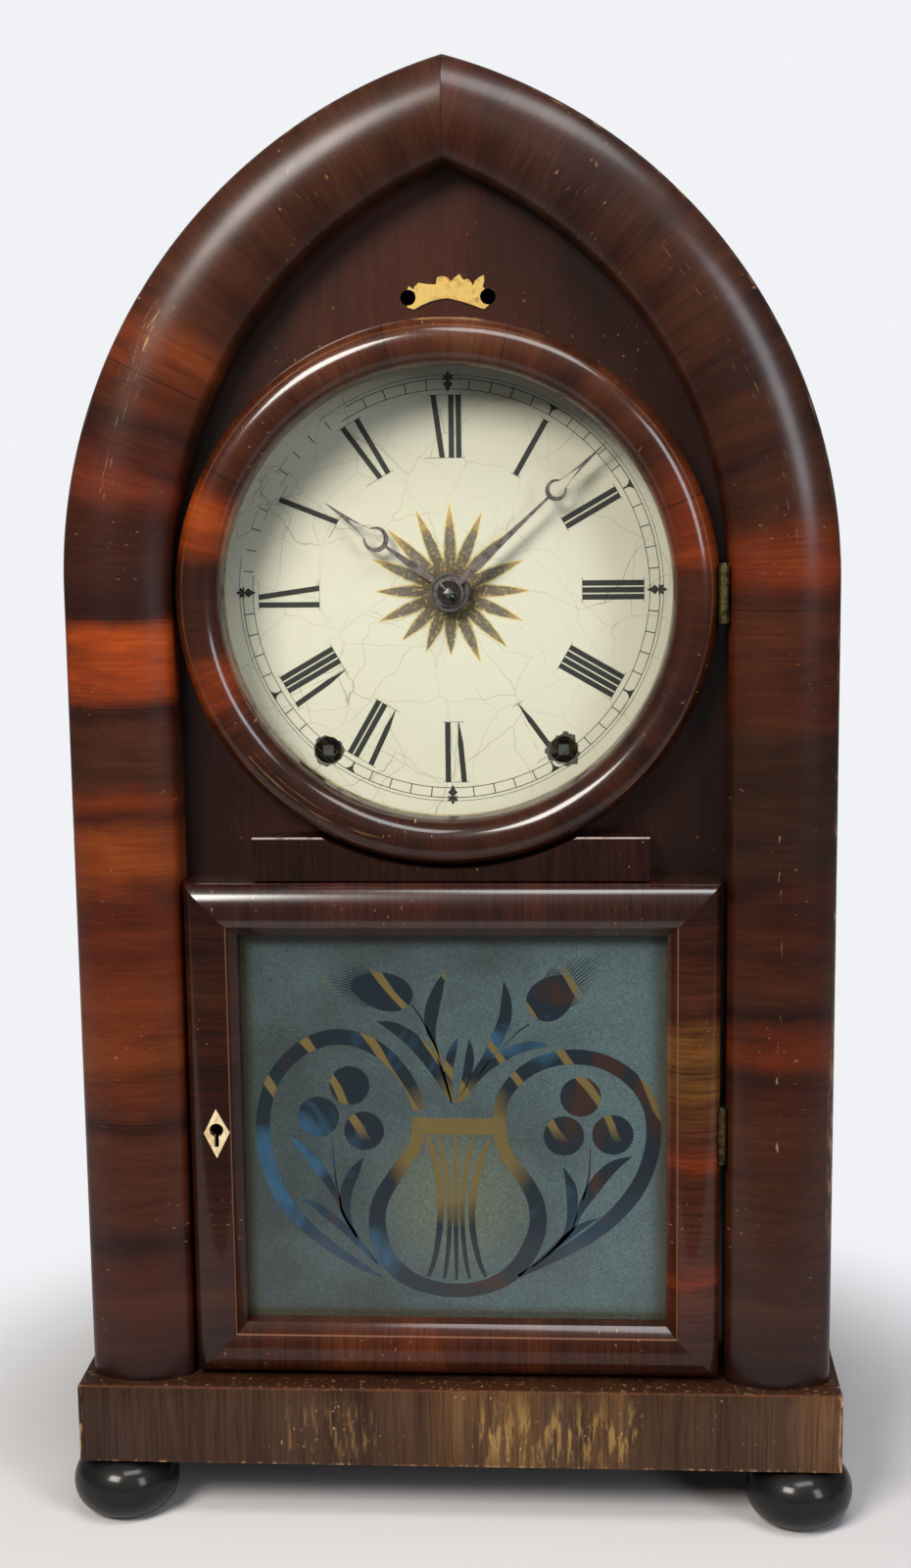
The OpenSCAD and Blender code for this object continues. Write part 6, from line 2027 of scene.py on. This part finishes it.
@dataclass
class Hands:
    """The browned steel moon hands, which stand at about eight minutes past ten as the photo shows them."""

    thickness: float = 0.8
    hour_y: float = -18.4
    minute_y: float = -20.3
    hour_angle: float = 306.0
    minute_angle: float = 47.0
    arbor_tip: float = -23.74
    pin_y: float = -21.62
    pin_head: float = 4.95
    pin_tip: float = 2.2
    pin_radius: float = 0.56
    hub_ring_outer: float = 6.7
    hub_ring_inner: float = 5.9
    hub_ring_proud: float = 0.45
    square_half: float = 1.3
    square_length: float = 2.5
    square_point: float = 0.25
    hour: HandShape = HandShape(
        6.8,
        0.85,
        ((1.05, 10.0), (1.25, 15.5), (0.95, 20.0), (0.5, 26.2)),
        31.0,
        4.4,
        3.2,
        0.55,
        43.0,
        ((1.9, 35.0), (1.2, 38.5), (0.85, 43.0), (0.5, 47.0), (0.1, 52.3)),
    )
    minute: HandShape = HandShape(
        4.9,
        0.8,
        ((1.3, 9.0), (1.5, 14.5), (1.2, 22.0), (0.75, 34.0), (0.42, 46.4)),
        50.3,
        3.7,
        2.6,
        0.5,
        61.5,
        ((1.7, 53.7), (1.15, 56.5), (0.75, 61.5), (0.45, 67.0), (0.1, 74.1)),
    )

    def forge(self, which: str, shape: HandShape, y: float, turn: float, body: str) -> None:
        """Cuts one hand out of sheet, opens its ring and turns it to its time."""
        hand = plate("moon_hand_" + which, shape.outline(), y, self.thickness)
        cut(hand, plate("opening", shape.opening(), y - 1, self.thickness + 2))
        with edit_mode(hand):
            bpy.ops.mesh.quads_convert_to_tris(quad_method="BEAUTY", ngon_method="BEAUTY")
        spin = Matrix.Rotation(math.radians(turn), 4, "Y")
        hand.data.transform(Matrix.Translation(mm(DIAL_X, 0, DIAL_Z)) @ spin)
        outward(hand)
        smooth(hand)
        settle(hand, DARK_STEEL, body, "dark_steel", which + "_hand")

    def hub_ring(self) -> None:
        """The raised ring on the hour hand's hub, which catches the light round the black washer."""
        turns = around(64, 360.0)
        outer = [clock_point(self.hub_ring_outer, a) for a in turns]
        inner = [clock_point(self.hub_ring_inner, a) for a in turns]
        front = self.hour_y - self.hub_ring_proud
        ring = ring_plate("hour_hub_ring", outer, inner, front, self.hub_ring_proud + 0.05)
        smooth(ring)
        settle(ring, STEEL, "hour_pipe", "dark_steel")

    def arbor_end(self) -> None:
        """The steel square that the hands are pinned to, filed to a low point at its end."""
        reach = self.square_half * math.sqrt(2) + 0.03
        corners = [clock_point(reach, a) for a in around(4, 360.0)]
        square = plate("arbor_square", corners, self.arbor_tip, self.square_length)
        with edit_mode(square):
            bpy.ops.mesh.select_all(action="DESELECT")
        for polygon in square.data.polygons:
            polygon.select = abs(polygon.center.y - self.arbor_tip * MM) < NEAR * MM
        bpy.ops.object.mode_set(mode="EDIT")
        bpy.ops.mesh.poke(offset=self.square_point * MM)
        bpy.ops.object.mode_set(mode="OBJECT")
        outward(square)
        settle(square, STEEL, "centre_arbor", "steel")

    def taper_pin(self) -> None:
        """The taper pin that holds the washer on, driven through the square from the upper left."""
        lean = Vector((1, 0, -1)).normalized()
        side = Vector((1, 0, 1)).normalized()
        forward = Vector((0, 1, 0))
        start = mm(DIAL_X, self.pin_y, DIAL_Z) - lean * self.pin_head * MM
        radius = self.pin_radius * MM
        circle = [start + (side * math.cos(t) + forward * math.sin(t)) * radius for t in around(16)]
        pin = loop_of("taper_pin", circle)
        extrude(pin, lean * (self.pin_head + self.pin_tip) * MM)
        smooth(pin, 40.0)
        settle(pin, STEEL, "centre_arbor", "dark_steel")

    def build(self) -> None:
        """Makes both hands and what shows at their hubs."""
        self.forge("hour", self.hour, self.hour_y, self.hour_angle, "hour_pipe")
        self.forge("minute", self.minute, self.minute_y, self.minute_angle, "centre_arbor")
        self.hub_ring()
        self.arbor_end()
        self.taper_pin()


@dataclass
class Fittings:
    """Small hardware that the solids leave out: the cut nails that hold the backboard."""

    board_back: float = 49.0
    half_section: tuple[Flat, ...] = ((0.0, -0.3), (2.3, -0.3), (2.116, -0.05), (1.38, 0.0), (0.0, 0.0))
    pairs: tuple[Flat, ...] = (
        (122.0, 80.0), (122.0, 180.0), (122.0, 290.0), (88.0, 420.0), (60.0, 57.0), (34.0, 470.0),
    )  # fmt: skip

    def build(self) -> None:
        """Forges one nail head and drives a copy in at each place."""
        outline = [mm(r, self.board_back + y, 0) for r, y in self.half_section]
        pattern = turned("nail", outline, (0, 1, 0), 12)
        nails = []
        for x, z in self.pairs:
            nails += [copy_of(pattern, Matrix.Translation(mm(side * x, 0, z))) for side in (-1, 1)]
        bpy.data.objects.remove(pattern)
        heads = join("backboard_nails", nails)
        smooth(heads, 40.0)
        settle(heads, DARK_STEEL, "case", "dark_steel")


@dataclass
class CarriedNodes:
    """The CAD nodes whose shape is right, which only get their finishes."""

    wear: tuple[tuple[Finish, tuple[str, ...]], ...] = (
        (PINE, ("backboard", "dial_blocks", "gong_block", "movement_seat")),
        (SIDE_VENEER, ("side_shell_left", "side_shell_right")),
        (PANEL_VENEER, ("front_panel",)),
        (STEP_VENEER, ("step_block",)),
        (BEAD_WOOD, ("glass_beads", "plinth_core")),
        (GILT, ("gilt_ornament",)),
        (DIAL_PAINT, ("dial",)),
        (PANE, ("bezel_glass",)),
        (PUTTY, ("bezel_putty",)),
        (FROSTED, ("tablet_glass",)),
        (BONE, ("escutcheon",)),
        (AGED_BRASS, ("hinge_case_leaves", "bezel_hinge_leaf", "door_hinge_leaf")),
        (STEEL, ("wood_screws", "hinge_pins", "lock_bolt", "pendulum_rod")),
        (STEEL, ("time_winding_arbor", "strike_winding_arbor")),
        (DARK_STEEL, ("lock_case", "strike_lever", "hammer", "verge", "gong_coil")),
        (HUB_STEEL, ("hand_collet",)),
        (SPRING_STEEL, ("mainsprings",)),
        (BRASS, ("movement_back_plate", "movement_front_plate", "plate_pillars", "pendulum_bob")),
        (BRASS, ("time_great_wheel", "second_wheel", "centre_wheel", "fourth_wheel", "escape_wheel")),
        (BRASS, ("minute_wheel", "hour_wheel", "fly")),
        (BRASS, ("strike_great_wheel", "strike_second_wheel", "pin_wheel")),
    )

    def build(self, nodes: dict[str, Piece]) -> None:
        """Dresses each node."""
        for finish, names in self.wear:
            for name in names:
                dress(nodes[name], finish)
            LOG.info("%s: on %d nodes", finish.name, len(names))


@dataclass
class Studio:
    """The pale floor, the soft lamps and the camera at the photo's view."""

    camera_at: Triple = (45.83, -752.4, 373.8)
    yaw: float = 3.542
    pitch: float = 8.793
    roll: float = -0.714
    lens: float = 49.089
    sensor: float = 36.0
    room: str = "#e9edf2"
    room_light: float = 0.11
    in_mirrors: float = 0.1
    table: float = 30.0
    table_front: float = 0.3

    def camera(self) -> None:
        """Sets the camera where the photo was taken from."""
        data = bpy.data.cameras.new("camera")
        data.sensor_fit = "AUTO"
        data.sensor_width = self.sensor
        data.lens = self.lens
        data.clip_start = 0.01
        camera = bpy.data.objects.new("camera", data)
        bpy.context.scene.collection.objects.link(camera)
        turn = (
            Matrix.Rotation(math.radians(self.yaw), 3, "Z")
            @ Matrix.Rotation(math.radians(90 - self.pitch), 3, "X")
            @ Matrix.Rotation(math.radians(self.roll), 3, "Z")
        )
        camera.matrix_world = Matrix.Translation(mm(*self.camera_at)) @ turn.to_4x4()
        bpy.context.scene.camera = camera

    def lamp(
        self, name: str, at: Triple, aim: Triple, size: Flat, watts: float, colour: str = "#ffffff"
    ) -> None:
        """Hangs one soft lamp.

        Args:
            name: Its name.
            at: Where it hangs, in metres.
            aim: What it points at, in metres.
            size: Its width and height, in metres.
            watts: Its power.
            colour: Its colour.
        """
        data = bpy.data.lights.new(name, "AREA")
        data.shape = "RECTANGLE"
        data.size, data.size_y = size
        data.energy = watts
        data.color = linear(colour)[:3]
        lamp = bpy.data.objects.new(name, data)
        bpy.context.scene.collection.objects.link(lamp)
        lamp.location = at
        lamp.rotation_mode = "QUATERNION"
        lamp.rotation_quaternion = (Vector(aim) - Vector(at)).to_track_quat("-Z", "Y")

    def world(self) -> None:
        """A pale room all round, which the camera, mirrors and glass see as the backdrop."""
        world = bpy.data.worlds.new("room")
        bpy.context.scene.world = world
        world.use_nodes = True
        tree = world.node_tree
        tree.nodes.clear()
        path = add(tree, "LightPath").outputs
        links = {0: path["Is Camera Ray"], 1: path["Is Transmission Ray"]}
        clear = add(tree, "Math", links, operation="MAXIMUM")
        links = {0: path["Is Glossy Ray"], 1: self.in_mirrors, 2: clear}
        seen = add(tree, "Math", links, operation="MULTIPLY_ADD", use_clamp=True)
        room = add(tree, "Background", {"Color": self.room, "Strength": self.room_light})
        backdrop = add(tree, "Background", {"Color": PAPER.backdrop, "Strength": 1.0})
        mixed = add(tree, "MixShader", {0: seen, 1: room, 2: backdrop})
        add(tree, "OutputWorld", {"Surface": mixed})

    def floor(self) -> None:
        """A pale floor that holds the clock's shadow and fades into the backdrop."""
        bpy.ops.object.select_all(action="DESELECT")
        bpy.ops.mesh.primitive_plane_add(size=self.table, location=(0, 0, 0))
        floor = bpy.context.active_object
        floor.name = "floor"
        floor.data.transform(Matrix.Translation((0.0, self.table / 2 - self.table_front, -0.0001)))
        dress(floor, PAPER)

    def build(self) -> None:
        """Sets up the whole studio."""
        self.camera()
        self.world()
        self.floor()
        target = (0.0, 0.0, 0.26)
        self.lamp("key", (-0.6, -1.2, 1.15), target, (0.6, 0.5), 32.0, "#fffaf2")
        self.lamp("overhead", (0.3, -0.7, 1.5), (0.0, 0.0, 0.3), (0.9, 0.4), 13.0)
        self.lamp("fill_right", (1.1, -1.2, 0.8), target, (0.4, 0.8), 11.5, "#f4f7ff")
        bpy.context.scene.view_settings.view_transform = "Standard"


def main() -> None:
    """Loads the frame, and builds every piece."""
    logging.basicConfig(level=logging.INFO, format="%(name)s: %(message)s")
    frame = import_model()
    CarriedNodes().build(frame["nodes"])
    for side in (-1, 1):
        ArchMoulding(side).build()
    for assembly in (Base(), Bezel(), LowerDoor(), Tablet(), DialPainting(), Hands(), Fittings(), Studio()):
        assembly.build()
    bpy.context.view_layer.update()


if __name__ == "__main__":
    main()
